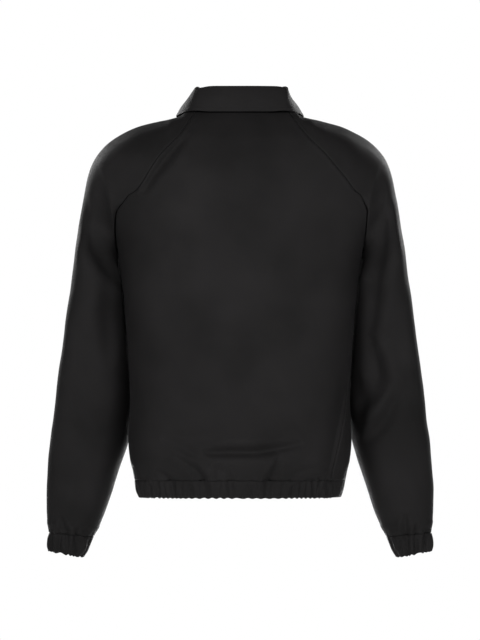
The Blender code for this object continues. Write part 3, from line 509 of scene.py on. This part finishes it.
# Sleeves
def halfRib(seam, normal, over, towards, outward, share):
    reach = over - seam
    length = np.linalg.norm(reach, axis=-1, keepdims=True)
    flat = normalized(reach - normal * (reach * normal).sum(-1, keepdims=True))
    away = np.array([0.0, towards, 0.0])
    heading = normalized(flat * (1 - outward) + away * outward)
    rise = np.maximum(np.abs(seam[..., 1:2] - over[..., 1:2]), length * raglan["leastReach"])
    depth = rise * raglan["arch"]
    first, second = seam + heading * length * raglan["lead"], over + away * depth
    t = share
    return seam * (1 - t) ** 3 + first * 3 * t * (1 - t) ** 2 + second * 3 * t ** 2 * (1 - t) + over * t ** 3


def halfRing(seam, over, towards, share, side):
    turn = np.pi * share
    power = 2 / sleeve["round"]
    depth = sleeve["rings"][0][4] * (1 - np.abs(seam[..., 1:2] - over[..., 1:2]) / raglan["capSpread"])
    point = (seam + over) / 2 - (over - seam) / 2 * powered(np.cos(turn), power)
    belly = towards * depth * np.sin(turn) ** power
    y = seam[..., 1:2] + (over[..., 1:2] - seam[..., 1:2]) * share + belly
    x = point[..., 0:1] + side * sleeve["rings"][0][7] * belly
    return np.concatenate([x, y, point[..., 2:3]], axis=-1)


def clearOfBody(x, y, z):
    pushed = np.maximum(x, bodySideX(y, z) + sleeve["clearance"])
    return np.where(z < body["hemBottomZ"], x, pushed)


def capPoints(side):
    half = panels["sleeveColumns"] // 2
    shares = np.linspace(0, 1, panels["sleeveCapRows"] + 1)
    columns = raglanAt(shares)
    over = stacked(side * columns[:, 4], raglan["overarmY"] * (1 - shares), columns[:, 5])[:, None, :]
    outward = columns[:, 6][:, None, None]
    toRing = np.clip((shares - raglan["capEnd"]) / (1 - raglan["capEnd"]), 0, 1)
    toRing = (toRing ** 2 * (3 - 2 * toRing))[:, None, None]
    halves = []
    for towards in (1, -1):
        angle, z = raglanEnd(shares, side, towards)
        seam = bodyPoints(angle, z)[:, None, :]
        normal = bodyNormals(angle, z)[:, None, :]
        way = np.linspace(0, 1, half + 1)[None, :, None]
        rib = halfRib(seam, normal, over, towards, outward, way)
        ring = halfRing(seam, over, towards, way, side)
        points = rib + (ring - rib) * toRing
        inner = (way[..., 0] > 0) & (way[..., 0] < 1)
        fall = drapeHeight(points[..., 0], points[..., 2]) * np.sin(np.pi * way[..., 0]).clip(0) ** 0.5
        points[..., 1] += np.where(inner, towards * fall, 0.0)
        clear = side * clearOfBody(np.abs(points[..., 0]), points[..., 1], points[..., 2])
        near = np.maximum(0.0, 2 * toRing[..., 0] - 1) * inner
        points[..., 0] += (clear - points[..., 0]) * near
        halves.append(points)
    return np.concatenate([halves[0], halves[1][:, ::-1][:, 1:]], axis=1)


def ringPoints(sizes, side, columns):
    outX, outZ, inX, inZ, back, front, middleY, swing = [c[:, None] for c in np.moveaxis(sizes, -1, 0)]
    turn = np.linspace(0, 2 * np.pi, columns + 1)[None, :]
    power = 2 / sleeve["round"]
    centreX, centreZ = (inX + outX) / 2, (inZ + outZ) / 2
    halfWidth = np.hypot(outX - inX, outZ - inZ) / 2
    squeeze = np.sqrt(np.maximum(halfWidth ** 2 - (swing * (back + front) / 2) ** 2, 1)) / halfWidth
    y = np.where(np.sin(turn) > 0, back, front) * powered(np.sin(turn), power)
    x = centreX - (outX - centreX) * squeeze * powered(np.cos(turn), power) + y * swing
    z = centreZ - (outZ - centreZ) * squeeze * powered(np.cos(turn), power) + 0 * y
    y = middleY + y
    x = clearOfBody(x, y, z)
    towards = np.where(np.sin(turn) > 0, 1.0, -1.0)
    y = y + towards * drapeHeight(x, z) * np.abs(np.sin(turn)) ** 0.5
    return stacked(x * side, y, z)


def sleevePoints(side):
    cap = capPoints(side)
    arm = ringPoints(ringAt(np.linspace(0, 1, panels["sleeveArmRows"] + 1)[1:]), side,
                     panels["sleeveColumns"])
    points = np.concatenate([cap, arm], axis=0)
    capRows = panels["sleeveCapRows"]
    join = slice(capRows - sleeve["easedAbove"], capRows + sleeve["easedBelow"])
    for _ in range(sleeve["easedTimes"]):
        eased = (points[:-2] + 2 * points[1:-1] + points[2:]) / 4
        points[join, 2:-2] = eased[join.start - 1:join.stop - 1, 2:-2]
    normals = gridNormals(points)
    closedNormals = gridNormals(points, closed=True)
    normals[capRows:] = closedNormals[capRows:]
    if side < 0:
        normals = -normals
    word = "Left" if side > 0 else "Right"
    share = np.arange(panels["sleeveColumns"] + 1)[None, :] / panels["sleeveColumns"]
    height = 0.0
    for half, facing in (("Back", 1), ("Front", -1)):
        faces = np.clip(facing * normals[..., 1] * 2.6 - 0.35, 0, 1)  # fades where the cloth turns away
        folds = creaseHeight(points[..., 0], points[..., 2], creases["sleeve" + word + half])
        height = height + folds * faces
    above = np.linalg.norm(points - points[-1:], axis=-1)
    calm = 1 - np.exp(-(above / casing["calmAbove"]) ** 2)
    height += softUneven(points, sleeve["unevenDepth"], sleeve["unevenSize"]) * calm
    lengths = lengthsAcross(points)
    ends = edgeRoll(lengths, lengths[:, -1:] - lengths, sleeve["edgeDip"], sleeve["edgeRise"])
    rows = np.arange(len(points))[:, None]
    height += ends * (rows <= capRows)
    reach = cuff["pullReach"] * (0.6 + 0.4 * np.sin(27.0 * share + side) * np.sin(11.0 * share))
    gathered = wave(share, cuff["waves"]) * casing["topGather"] - cuff["pinch"]
    height += cuff["waveHeight"] * gathered * np.exp(-(above / reach) ** 1.3)
    height += cuff["puff"] * np.exp(-((above - cuff["puffAbove"]) / cuff["puffWidth"]) ** 2)
    closed = (height[:, 0] + height[:, -1]) / 2
    height[:, -1] = height[:, 0] = np.where(rows[:, 0] > capRows, closed, height[:, 0])
    points = points + normals * height[..., None]
    points[:capRows] = drawnIn(points[:capRows], panels["seamGap"], panels["seamGap"])
    return points


# Casings: the hem and cuffs are folded in two over elastic
hem = {"waves": 30, "waveHeight": 1.7, "columns": 480, "frontColumns": 90, "plainHeight": 0.3,
       "plainSize": 25.0, "pullReach": 13.0, "scallop": 1.9, "pinch": 0.45, "endGap": 0.04,
       "belowPanel": 0.3, "aboveBottom": 0.8, "fineWaves": 2.3}
cuff = {
    "waves": 13, "waveHeight": 2.2, "columns": 216, "pullReach": 12.0, "puff": 1.0, "puffAbove": 15.0,
    "puffWidth": 6.0, "pinch": 0.45, "scallop": 2.6, "fineWaves": 33, "tuckedIn": 30.0,
    "rings": [  # outer x, z, inner x, z, back, front, middle y, swing
        (314.5, -690.6, 240.5, -697.6, 37, 39, -59, 0.15),
        (316, -700, 245.5, -708.5, 35.5, 37.5, -59.5, 0.15),
        (316.8, -711, 251, -721, 35, 37, -60, 0.15),
        (315.5, -720, 257.5, -731, 33, 35, -60.5, 0.15)],
}
casing = {
    "thickness": 0.7, "outRows": 14, "turnRows": 4, "inRows": 5, "fullness": 3.0, "calmAbove": 15.0,
    "topGather": 0.42, "fullGather": 0.58, "turnGather": 0.45, "insideGather": 0.2, "turnDepth": 0.03,
    "fineDepth": 0.22,
    "tucked": [(-0.06, 1.5), (-0.01, 1.0), (0.02, 0.25)],  # level, how far in behind the panel's edge
}


# Level down the casing, 0 to 1, how far in from its face, and how much it gathers
def casingProfile():
    rows = [(level, inset, casing["topGather"]) for level, inset in casing["tucked"]]
    for level in np.linspace(0.05, 1, casing["outRows"]):
        full = math.sin(math.pi * min(level * 1.05, 1.0)) ** 0.6
        rows.append((level, 0.0, casing["topGather"] + casing["fullGather"] * full))
    for step in range(1, casing["turnRows"] + 1):
        turn = math.pi * step / casing["turnRows"]
        inset = casing["fullness"] * (1 - math.cos(turn)) / 2
        rows.append((1.0 + casing["turnDepth"] * math.sin(turn), inset, casing["turnGather"]))
    for step in range(1, casing["inRows"] + 1):
        rows.append((1.0 - step / casing["inRows"], casing["fullness"], casing["insideGather"]))
    return np.array(rows)


def hemPoints(startAngle, endAngle, columns, waves):
    level, inset, gather = [c[:, None] for c in casingProfile().T]
    top, bottom = body["hemTopZ"] - hem["belowPanel"], body["hemBottomZ"] + hem["aboveBottom"]
    share = np.linspace(0, 1, columns + 1)[None, :]
    z = top + (bottom - top) * level + 0 * share  # one height to a row, in every column
    angle = startAngle + hem["endGap"] + (endAngle - startAngle - 2 * hem["endGap"]) * share + 0 * level
    normals = bodyNormals(angle, z)
    normals[..., 2] = 0
    normals = normalized(normals)
    points = bodyPoints(angle, np.maximum(z, body["hemBottomZ"]))
    points[..., 2] = z
    if waves:
        fine = np.sin(2 * np.pi * share * waves * hem["fineWaves"] + 3.0 * np.sin(9 * share))
        fine = casing["fineDepth"] * fine * level
        rise = hem["waveHeight"] * ((wave(share, waves) + fine) * gather - hem["pinch"])
        rise = rise + creaseHeight(points[..., 0], points[..., 2], creases["back"])
        lengths = lengthsAcross(points)
        fromSeam = np.minimum(lengths, lengths[:, -1:] - lengths)
        rise = rise * np.clip(fromSeam / panels["seamFade"], 0.0, 1.0)
        low = np.clip((level - 0.55) / 0.45, 0, 1)
        points[..., 2] += hem["scallop"] * (wave(share * 1.37 + 0.011, waves) - 0.6) * low
    else:
        rise = softUneven(points, hem["plainHeight"], hem["plainSize"])
    return points + normals * (rise - inset)[..., None]


def cuffPoints(side):
    level, inset, gather = [c[:, None] for c in casingProfile().T]
    rings = evenly(cuff["rings"])(np.clip(level[:, 0], 0, 1))
    points = ringPoints(rings, side, cuff["columns"])
    points[..., 2] -= np.minimum(level, 0.0) * cuff["tuckedIn"]
    middle = points[:, :-1].mean(axis=1, keepdims=True)
    away = points - middle
    away[..., 2] = 0
    away = normalized(away)
    share = np.linspace(0, 1, cuff["columns"] + 1)[None, :]
    fine = np.sin(2 * np.pi * share * cuff["fineWaves"] + 2.0 * np.sin(2 * np.pi * share))
    fine = casing["fineDepth"] * fine * level
    rise = cuff["waveHeight"] * ((wave(share, cuff["waves"]) + fine) * gather - cuff["pinch"])
    word = "Left" if side > 0 else "Right"
    for half, sign in (("Back", 1), ("Front", -1)):
        facing = np.clip(sign * np.sin(2 * np.pi * share) * 3, 0, 1)
        rise = rise + creaseHeight(points[..., 0], points[..., 2], creases["sleeve" + word + half]) * facing
    rise[:, -1] = rise[:, 0]
    points = points + away * (rise - inset)[..., None]
    low = np.clip((level - 0.5) / 0.5, 0, 1)
    points[..., 2] += cuff["scallop"] * (wave(share * 1.5 + 0.02, cuff["waves"]) - 0.55) * low
    points[:, -1] = points[:, 0]
    return points


# Collar
collar = {
    "steps": 90, "thickness": 2.0, "edge": 0.6, "lift": 1.3, "turn": 0.07,
    "standLevels": (-0.16, -0.02, 0.06, 0.15, 0.3, 0.45, 0.6, 0.8, 1.0), "insideNeck": 2.0, "inset": 0.5,
    "top": 40.0, "topSoftness": 1.4, "rollRows": 16, "fallRows": 26, "fallLift": 0.9, "belly": 3.5,
    "restOnShoulder": 4.0, "restAt": 0.46, "restWidth": 0.13,
    "roll": [(0, 0), (0, 3.2), (2, 6.4), (5.4, 7.4), (9.4, 5.4)],  # out, up
    "furrow": 0.35, "furrowFromEdge": 7.0, "edgeSwell": 0.25, "unevenDepth": 0.5, "unevenSize": 28.0,
    "sections": [  # along, fall x, y, z, stand, lean
        (0, 0, 80, -1, 30, 4), (0.15, 46, 77, -1, 30, 5), (0.27, 78, 66, 1, 25, 7.5),
        (0.38, 98, 38, -1, 19, 7), (0.47, 105, 3, -3, 16, 6), (0.56, 103, -33, -5, 17, 5.5),
        (0.66, 98, -67, -27, 20, 7), (0.78, 90, -94, -68, 22, 5), (0.9, 78, -112, -106, 20, 4),
        (1, 66, -124, -134, 19, 4)],
}
collarAt = smoothTable(collar["sections"])


def neckLine(side, back, cap, front):
    middle = back.shape[1] // 2
    half = back[0, :middle + 1][::-1] if side > 0 else back[0, middle:]
    return np.concatenate([half[:-1], cap[0, :-1], front[0]])


def alongLine(points, shares):
    lengths = np.concatenate([[0.0], np.cumsum(np.linalg.norm(np.diff(points, axis=0), axis=1))])
    at = np.clip(shares, 0, 1) * lengths[-1]
    return np.stack([np.interp(at, lengths, points[:, axis]) for axis in range(3)], axis=-1)


# Base, outward direction and sizes along half the neck
def collarHalf(side, line, shares):
    base = alongLine(line, shares)
    run = alongLine(line, shares + collar["turn"]) - alongLine(line, shares - collar["turn"])
    away = normalized(stacked(run[:, 1], -run[:, 0], 0 * run[:, 0])) * -side
    outwards = (away[:, :2] * base[:, :2]).sum(axis=1)
    away = np.where(outwards[:, None] < 0, -away, away)
    return base, away, collarAt(shares)


def standHalf(side, line, shares):
    base, away, sizes = collarHalf(side, line, shares)
    rows = []
    for level in collar["standLevels"]:
        up = stacked(0, 0, collar["lift"] + sizes[:, 3] * level)
        inset = collar["insideNeck"] if level < 0.05 else collar["inset"]
        rows.append(base + up - away * (sizes[:, 4:5] * level + inset))
    return np.array(rows)


def fallHalf(side, line, shares):
    base, away, sizes = collarHalf(side, line, shares)
    top = standHalf(side, line, shares)[-1] - away * collar["thickness"]
    rollAt = smoothTable([(place, out, up) for place, (out, up) in enumerate(collar["roll"])])
    rows = []
    for place in np.linspace(0, len(collar["roll"]) - 1, collar["rollRows"] + 1):
        out, up = rollAt(place)
        rows.append(top + away * out + stacked(0, 0, up + collar["fallLift"]))
    soft = collar["topSoftness"]
    for row in rows:
        over = np.maximum(row[:, 2] - collar["top"], 0.0)
        row[:, 2] = np.minimum(row[:, 2], collar["top"]) + soft * np.tanh(over / soft)
    crown = rows[-1]
    rest = collar["restOnShoulder"] * np.exp(-((shares - collar["restAt"]) / collar["restWidth"]) ** 2)
    edge = stacked(side * sizes[:, 0], sizes[:, 1], sizes[:, 2] - rest)
    for level in np.linspace(0, 1, collar["fallRows"] + 1)[1:]:
        belly = math.sin(math.pi * level) * collar["belly"]
        rows.append(crown + (edge - crown) * level + away * belly)
    return np.array(rows)


def bothHalves(make, lines):
    shares = np.linspace(0, 1, collar["steps"] + 1)
    left = make(1, lines[1], shares)[:, ::-1]
    right = make(-1, lines[-1], shares)
    return np.concatenate([left[:, :-1], right], axis=1)


# Edge stitching furrow and a soft unevenness on the turned collar
def fallDetail(points):
    normals = -gridNormals(points)
    fromEdge = np.linalg.norm(points - points[-1:], axis=-1)
    fromEnds = lengthsAcross(points)
    fromEnds = np.minimum(fromEnds, fromEnds[:, -1:] - fromEnds)
    onFall = np.clip((np.arange(len(points)) - collar["rollRows"] - 4) / 6.0, 0, 1)[:, None]
    near = np.minimum(fromEdge, fromEnds)
    height = -collar["furrow"] * np.exp(-((near - collar["furrowFromEdge"]) / 0.9) ** 2)
    height = height + collar["edgeSwell"] * np.exp(-((near - collar["furrowFromEdge"] / 2) / 2.0) ** 2)
    height = (height + softUneven(points, collar["unevenDepth"], collar["unevenSize"])) * onFall
    return points + normals * height[..., None]


# Materials
def clothMaterial(name, settings):
    material = bpy.data.materials.new(name)
    material.use_nodes = True
    nodes, links = material.node_tree.nodes, material.node_tree.links
    shader = nodes["Principled BSDF"]
    shader.inputs["Roughness"].default_value = settings["roughness"]
    shader.inputs["Specular IOR Level"].default_value = settings["gloss"]
    shader.inputs["Sheen Weight"].default_value = settings["sheen"]
    shader.inputs["Sheen Roughness"].default_value = settings["sheenRoughness"]
    shader.inputs["Sheen Tint"].default_value = (*settings["sheenTint"], 1)
    place = nodes.new("ShaderNodeUVMap")
    place.uv_map = "cloth"
    turn = nodes.new("ShaderNodeMapping")
    turn.inputs["Rotation"].default_value = (0, 0, math.radians(settings["twillAngle"]))
    links.new(place.outputs["UV"], turn.inputs["Vector"])
    twill = nodes.new("ShaderNodeTexWave")
    twill.wave_type = "BANDS"
    twill.bands_direction = "X"
    twill.inputs["Scale"].default_value = settings["twillScale"]
    twill.inputs["Distortion"].default_value = 1.2
    twill.inputs["Detail"].default_value = 2.0
    twill.inputs["Detail Scale"].default_value = 3.0
    links.new(turn.outputs["Vector"], twill.inputs["Vector"])
    threads = nodes.new("ShaderNodeTexNoise")
    threads.inputs["Scale"].default_value = settings["threadScale"]
    threads.inputs["Detail"].default_value = 3.0
    stretch = nodes.new("ShaderNodeMapping")
    stretch.inputs["Scale"].default_value = (1.0, 0.22, 1.0)
    links.new(place.outputs["UV"], stretch.inputs["Vector"])
    links.new(stretch.outputs["Vector"], threads.inputs["Vector"])
    wear = nodes.new("ShaderNodeTexNoise")
    wear.inputs["Scale"].default_value = settings["wearScale"]
    wear.inputs["Detail"].default_value = 4.0
    where = nodes.new("ShaderNodeTexCoord")
    links.new(where.outputs["Object"], wear.inputs["Vector"])
    mixed = nodes.new("ShaderNodeMath")
    mixed.operation = "MULTIPLY_ADD"
    mixed.inputs[1].default_value = 0.5
    links.new(threads.outputs["Fac"], mixed.inputs[0])
    links.new(wear.outputs["Fac"], mixed.inputs[2])
    tone = nodes.new("ShaderNodeValToRGB")
    tone.color_ramp.elements[0].position = 0.45
    tone.color_ramp.elements[0].color = (*settings["dark"], 1)
    tone.color_ramp.elements[1].position = 1.0
    tone.color_ramp.elements[1].color = (*settings["light"], 1)
    links.new(mixed.outputs["Value"], tone.inputs["Fac"])
    links.new(tone.outputs["Color"], shader.inputs["Base Color"])
    joined = nodes.new("ShaderNodeMath")
    joined.operation = "MULTIPLY_ADD"
    joined.inputs[1].default_value = 0.6
    links.new(twill.outputs["Fac"], joined.inputs[0])
    links.new(threads.outputs["Fac"], joined.inputs[2])
    bump = nodes.new("ShaderNodeBump")
    bump.inputs["Strength"].default_value = settings["bump"]
    bump.inputs["Distance"].default_value = settings["bumpDepth"] * mm
    links.new(joined.outputs["Value"], bump.inputs["Height"])
    links.new(bump.outputs["Normal"], shader.inputs["Normal"])
    return material


def grainedMaterial(name, settings):
    material = bpy.data.materials.new(name)
    material.use_nodes = True
    nodes, links = material.node_tree.nodes, material.node_tree.links
    shader = nodes["Principled BSDF"]
    shader.inputs["Metallic"].default_value = settings["metallic"]
    shader.inputs["Specular IOR Level"].default_value = settings["gloss"]
    where = nodes.new("ShaderNodeTexCoord")
    grain = nodes.new("ShaderNodeTexNoise")
    grain.inputs["Scale"].default_value = 900.0
    links.new(where.outputs["Object"], grain.inputs["Vector"])
    tone = nodes.new("ShaderNodeValToRGB")
    tone.color_ramp.elements[0].color = (*settings["dark"], 1)
    tone.color_ramp.elements[1].color = (*settings["light"], 1)
    links.new(grain.outputs["Fac"], tone.inputs["Fac"])
    links.new(tone.outputs["Color"], shader.inputs["Base Color"])
    rough = nodes.new("ShaderNodeMapRange")
    rough.inputs["To Min"].default_value = settings["roughness"] - 0.08
    rough.inputs["To Max"].default_value = settings["roughness"] + 0.1
    links.new(grain.outputs["Fac"], rough.inputs["Value"])
    links.new(rough.outputs["Result"], shader.inputs["Roughness"])
    return material


cloth = clothMaterial("blackTwill", {
    "dark": (0.0030, 0.0029, 0.0029), "light": (0.0056, 0.0053, 0.0054), "roughness": 0.62,
    "gloss": 0.012, "sheen": 0.004, "sheenRoughness": 0.3, "sheenTint": (0.9, 0.9, 0.95),
    "twillAngle": 45, "twillScale": 420, "threadScale": 900, "wearScale": 9,
    "bump": 0.35, "bumpDepth": 0.4})
tapeCloth = clothMaterial("tapeCloth", {
    "dark": (0.006, 0.006, 0.006), "light": (0.016, 0.016, 0.016), "roughness": 0.8,
    "gloss": 0.2, "sheen": 0.05, "sheenRoughness": 0.5, "sheenTint": (0.9, 0.9, 0.95),
    "twillAngle": 60, "twillScale": 300, "threadScale": 600, "wearScale": 9,
    "bump": 0.5, "bumpDepth": 0.4})
metal = grainedMaterial("darkMetal", {
    "dark": (0.03, 0.03, 0.032), "light": (0.09, 0.09, 0.095), "roughness": 0.38, "metallic": 1.0,
    "gloss": 0.5})
threadLook = grainedMaterial("thread", {
    "dark": (0.004, 0.004, 0.004), "light": (0.009, 0.009, 0.009), "roughness": 0.6, "metallic": 0.0,
    "gloss": 0.1})

# Camera and light
view = {"distance": 12.0, "height": -0.341, "frameHeight": 1.050, "sensor": 36.0}  # in metres, sensor in mm
studio = {
    "lights": [  # name, place, target, size, power; again in front, turned half round
        ("leftKey", (2.3, 3.4, 1.0), (0, 0, -0.3), (1.2, 1.0), 248),
        ("rightKey", (-2.3, 3.4, 0.9), (0, 0, -0.3), (1.2, 1.0), 207),
        ("lowFill", (0, 3.6, -1.15), (0, 0, -0.55), (3.0, 0.5), 100)],
    "whiteBelow": 0.12, "greyAbove": 0.35, "grey": 0.22,
    "floorZ": -1.5, "floorRadius": 4.0, "floorTone": 0.93,
}
camera = bpy.data.objects.new("camera", bpy.data.cameras.new("camera"))
camera.data.sensor_fit = "VERTICAL"
camera.data.sensor_height = view["sensor"]
camera.data.lens = view["distance"] * view["sensor"] / view["frameHeight"]
camera.data.clip_end = 100.0
camera.location = (0, view["distance"], view["height"])
camera.rotation_euler = Vector((0, -1, 0)).to_track_quat("-Z", "Y").to_euler()
bpy.context.scene.collection.objects.link(camera)
bpy.context.scene.camera = camera


def areaLight(name, place, target, size, power):
    light = bpy.data.lights.new(name, "AREA")
    light.shape = "RECTANGLE"
    light.size, light.size_y = size
    light.energy = power
    lamp = bpy.data.objects.new(name, light)
    lamp.location = place
    lamp.rotation_euler = (Vector(target) - Vector(place)).to_track_quat("-Z", "Y").to_euler()
    bpy.context.scene.collection.objects.link(lamp)


for word, facing in (("Back", 1), ("Front", -1)):
    for name, (x, y, z), target, size, power in studio["lights"]:
        areaLight(name + word, (x * facing, y * facing, z), target, size, power)
world = bpy.data.worlds.new("studio")
world.use_nodes = True
skyNodes, skyLinks = world.node_tree.nodes, world.node_tree.links
skyPlace = skyNodes.new("ShaderNodeTexCoord")
skyHeight = skyNodes.new("ShaderNodeSeparateXYZ")
skyLinks.new(skyPlace.outputs["Generated"], skyHeight.inputs["Vector"])
skyTone = skyNodes.new("ShaderNodeValToRGB")
skyTone.color_ramp.elements[0].position = studio["whiteBelow"]
skyTone.color_ramp.elements[0].color = (1.0, 1.0, 1.0, 1.0)
skyTone.color_ramp.elements[1].position = studio["greyAbove"]
skyTone.color_ramp.elements[1].color = (studio["grey"], studio["grey"], studio["grey"], 1.0)
skyLinks.new(skyHeight.outputs["Z"], skyTone.inputs["Fac"])
skyLinks.new(skyTone.outputs["Color"], skyNodes["Background"].inputs["Color"])
skyNodes["Background"].inputs["Strength"].default_value = 1.0
bpy.context.scene.world = world
bpy.context.scene.view_settings.view_transform = "Standard"

floorMesh = bmesh.new()
bmesh.ops.create_circle(floorMesh, cap_ends=True, segments=96, radius=studio["floorRadius"])
bmesh.ops.translate(floorMesh, vec=(0, 0, studio["floorZ"]), verts=floorMesh.verts)
floorLook = bpy.data.materials.new("paleFloor")
floorLook.use_nodes = True
floorShader = floorLook.node_tree.nodes["Principled BSDF"]
floorShader.inputs["Base Color"].default_value = (*[studio["floorTone"]] * 3, 1)
floorShader.inputs["Roughness"].default_value = 1.0
floorShader.inputs["Specular IOR Level"].default_value = 0.0
floor = newPiece("floor", floorMesh, floorLook)
print("camera, light and floor ready")

# The garment
backGrid = backPoints()
backCut = drawnIn(backGrid, panels["seamGap"], panels["seamGap"])
back = clothPiece("backPanel", backCut, cloth, flipped=True)
sewn(back, "back", flat=(0.56, 0.64), held="stretched", area=0.275)
lines = {}
stitched = [(backGrid, 1, -1), (backGrid, -2, -1)]  # grid, column beside the seam, which way is out
for side, word in ((1, "left"), (-1, "right")):
    frontGrid = frontPoints(side)
    stitched += [(frontGrid, 1, side), (frontGrid, -5, side)]
    frontCut = drawnIn(frontGrid, panels["seamGap"], 0)
    front = clothPiece("frontPanel_" + word, frontCut, cloth, flipped=side < 0)
    sewn(front, "front_" + word, flat=(0.30, 0.60), held="stretched", area=0.135)
    sleeveGrid = sleevePoints(side)
    arm = clothPiece("sleeve_" + word + "Cloth", sleeveGrid, cloth, welded=True, flipped=side < 0)
    sewn(arm, "sleeve_" + word, flat=(0.44, 0.76), held="gathered", area=0.255)
    wristGrid = cuffPoints(side)
    wrist = clothPiece("cuff_" + word + "Gathers", wristGrid, cloth, casing["thickness"], True, side < 0)
    sewn(wrist, "cuff_" + word, flat=(0.32, 0.062), held="gathered", area=0.0165)
    lines[side] = neckLine(side, backGrid, sleeveGrid, frontGrid)

leftSeam = float(sideSeamAngle(body["hemBottomZ"], 1))
rightSeam = float(sideSeamAngle(body["hemBottomZ"], -1))
leftEdge = float(bodyAngle(panels["frontEdgeX"], body["hemBottomZ"], -1))
rightEdge = float(bodyAngle(-panels["frontEdgeX"], body["hemBottomZ"], -1))
bandGrid = hemPoints(leftSeam, rightSeam, hem["columns"], hem["waves"])
band = clothPiece("hemGathers", bandGrid, cloth, casing["thickness"], flipped=True)
sewn(band, "hem_back", flat=(0.62, 0.062), held="gathered", area=0.036)
plainGrid = hemPoints(leftEdge, leftSeam, hem["frontColumns"], 0)
plain = clothPiece("hemPlain_left", plainGrid, cloth, casing["thickness"], flipped=True)
sewn(plain, "hem_front_left", flat=(0.24, 0.062), held="stretched", area=0.0145)
plainGrid = hemPoints(rightSeam, rightEdge, hem["frontColumns"], 0)
plain = clothPiece("hemPlain_right", plainGrid, cloth, casing["thickness"], flipped=True)
sewn(plain, "hem_front_right", flat=(0.30, 0.062), held="stretched", area=0.018)

stand = clothPiece("collarStand", bothHalves(standHalf, lines), cloth, collar["thickness"], flipped=True)
sewn(stand, "collar_stand", flat=(0.63, 0.034), held="stretched", area=0.0165)
fallGrid = fallDetail(bothHalves(fallHalf, lines))
fall = clothPiece("collarFall", fallGrid, cloth, collar["thickness"], flipped=True, edge=collar["edge"])
sewn(fall, "collar_fall", flat=(0.60, 0.09), held="folded", area=0.038)

zipper = {
    "tapeTop": -79.0, "tapeBottom": -599.0, "tapeInner": 2.7, "tapeOuter": 16.0, "tapeBehind": 2.0,
    "tapeRows": 160, "tapeColumns": 7, "tapeThickness": 0.8, "ribHeight": 0.12, "weaveHeight": 0.06,
    "teethTop": -96.6, "teethBottom": -618.4, "pitch": 1.35, "tooth": (3.3, 2.2, 1.05), "toothX": 0.9,
    "teethBehind": 2.2,
}


def frontSurfaceY(z):
    return bodyPoints(bodyAngle(np.zeros_like(z), z, -1), z)[..., 1]


def tapePoints(side):
    z = np.linspace(zipper["tapeTop"], zipper["tapeBottom"], zipper["tapeRows"] + 1)[:, None]
    x = np.linspace(zipper["tapeInner"], zipper["tapeOuter"], zipper["tapeColumns"] + 1)[None, ::side] * side
    ribbing = zipper["ribHeight"] * np.sin(x * 3.2) + zipper["weaveHeight"] * np.sin(z * 2.0)
    return stacked(x, frontSurfaceY(z) + zipper["tapeBehind"] + ribbing, z)


for side, word in ((1, "left"), (-1, "right")):
    tape = clothPiece("zipTape_" + word, tapePoints(side), tapeCloth, zipper["tapeThickness"], flipped=True)
    sewn(tape, "zip_tape_" + word, "zip_tape", flat=(0.014, 0.53), held="stretched")

teeth = bmesh.new()
count = int((zipper["teethTop"] - zipper["teethBottom"]) / zipper["pitch"])
for place in range(count):
    z = zipper["teethTop"] - place * zipper["pitch"]
    lean = math.atan2(float(frontSurfaceY(np.array(z - 5.0)) - frontSurfaceY(np.array(z + 5.0))), -10.0)
    made = bmesh.ops.create_cube(teeth, size=1.0)["verts"]
    bmesh.ops.scale(teeth, vec=[size * mm for size in zipper["tooth"]], verts=made)
    bmesh.ops.rotate(teeth, cent=(0, 0, 0), matrix=Matrix.Rotation(-lean + math.pi, 3, "X"), verts=made)
    middle = Vector((zipper["toothX"] * (1 if place % 2 else -1),
                     float(frontSurfaceY(np.array(z))) + zipper["teethBehind"], z))
    bmesh.ops.translate(teeth, vec=middle * mm, verts=made)
chain = newPiece("zipTeeth", teeth, metal)
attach(chain, "jacket")
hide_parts("zip_chain")

thread = {"length": 2.3, "pitch": 3.1, "width": 0.5, "height": 0.34, "lift": 0.1, "seamEnds": 2}


# Threads laid end to end along a line of points on the cloth
def stitchLine(mesh, path, normals):
    lengths = np.concatenate([[0.0], np.cumsum(np.linalg.norm(np.diff(path, axis=0), axis=1))])
    at = np.arange(thread["pitch"], lengths[-1] - thread["pitch"], thread["pitch"])
    middles = np.stack([np.interp(at, lengths, path[:, axis]) for axis in range(3)], axis=-1)
    ahead = np.stack([np.interp(at + 0.5, lengths, path[:, axis]) for axis in range(3)], axis=-1)
    outs = np.stack([np.interp(at, lengths, normals[:, axis]) for axis in range(3)], axis=-1)
    for middle, forward, out in zip(middles, ahead - middles, outs):
        along, up = Vector(forward).normalized(), Vector(out).normalized()
        across = up.cross(along).normalized()
        turn = Matrix((along, across, up)).transposed().to_4x4()
        size = Matrix.Diagonal((thread["length"], thread["width"], thread["height"], 1))
        place = Matrix.Translation(Vector(middle + out * thread["lift"]) * mm)
        bmesh.ops.create_icosphere(mesh, subdivisions=1, radius=0.5 * mm, matrix=place @ turn @ size)


threads = bmesh.new()
fallNormals = -gridNormals(fallGrid)
stitchLine(threads, fallGrid[-4, 3:-3], fallNormals[-4, 3:-3])
flatRow = collar["rollRows"] + 4  # past the roll
for column in (3, -4):
    stitchLine(threads, fallGrid[flatRow:-3, column], fallNormals[flatRow:-3, column])
for grid, column, facing in stitched:
    outs = gridNormals(grid) * facing
    last = panels["raglanRows"] if abs(column) < 3 else len(grid)
    rows = slice(thread["seamEnds"], last - thread["seamEnds"])
    stitchLine(threads, grid[rows, column], outs[rows, column])
topstitch = newPiece("topstitch", threads, threadLook)
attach(topstitch, "jacket")
print("zip and stitches made")

for node in ("zip_box", "zip_slider", "zip_pull"):
    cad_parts[node].data.materials.clear()
    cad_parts[node].data.materials.append(metal)

print("garment built")
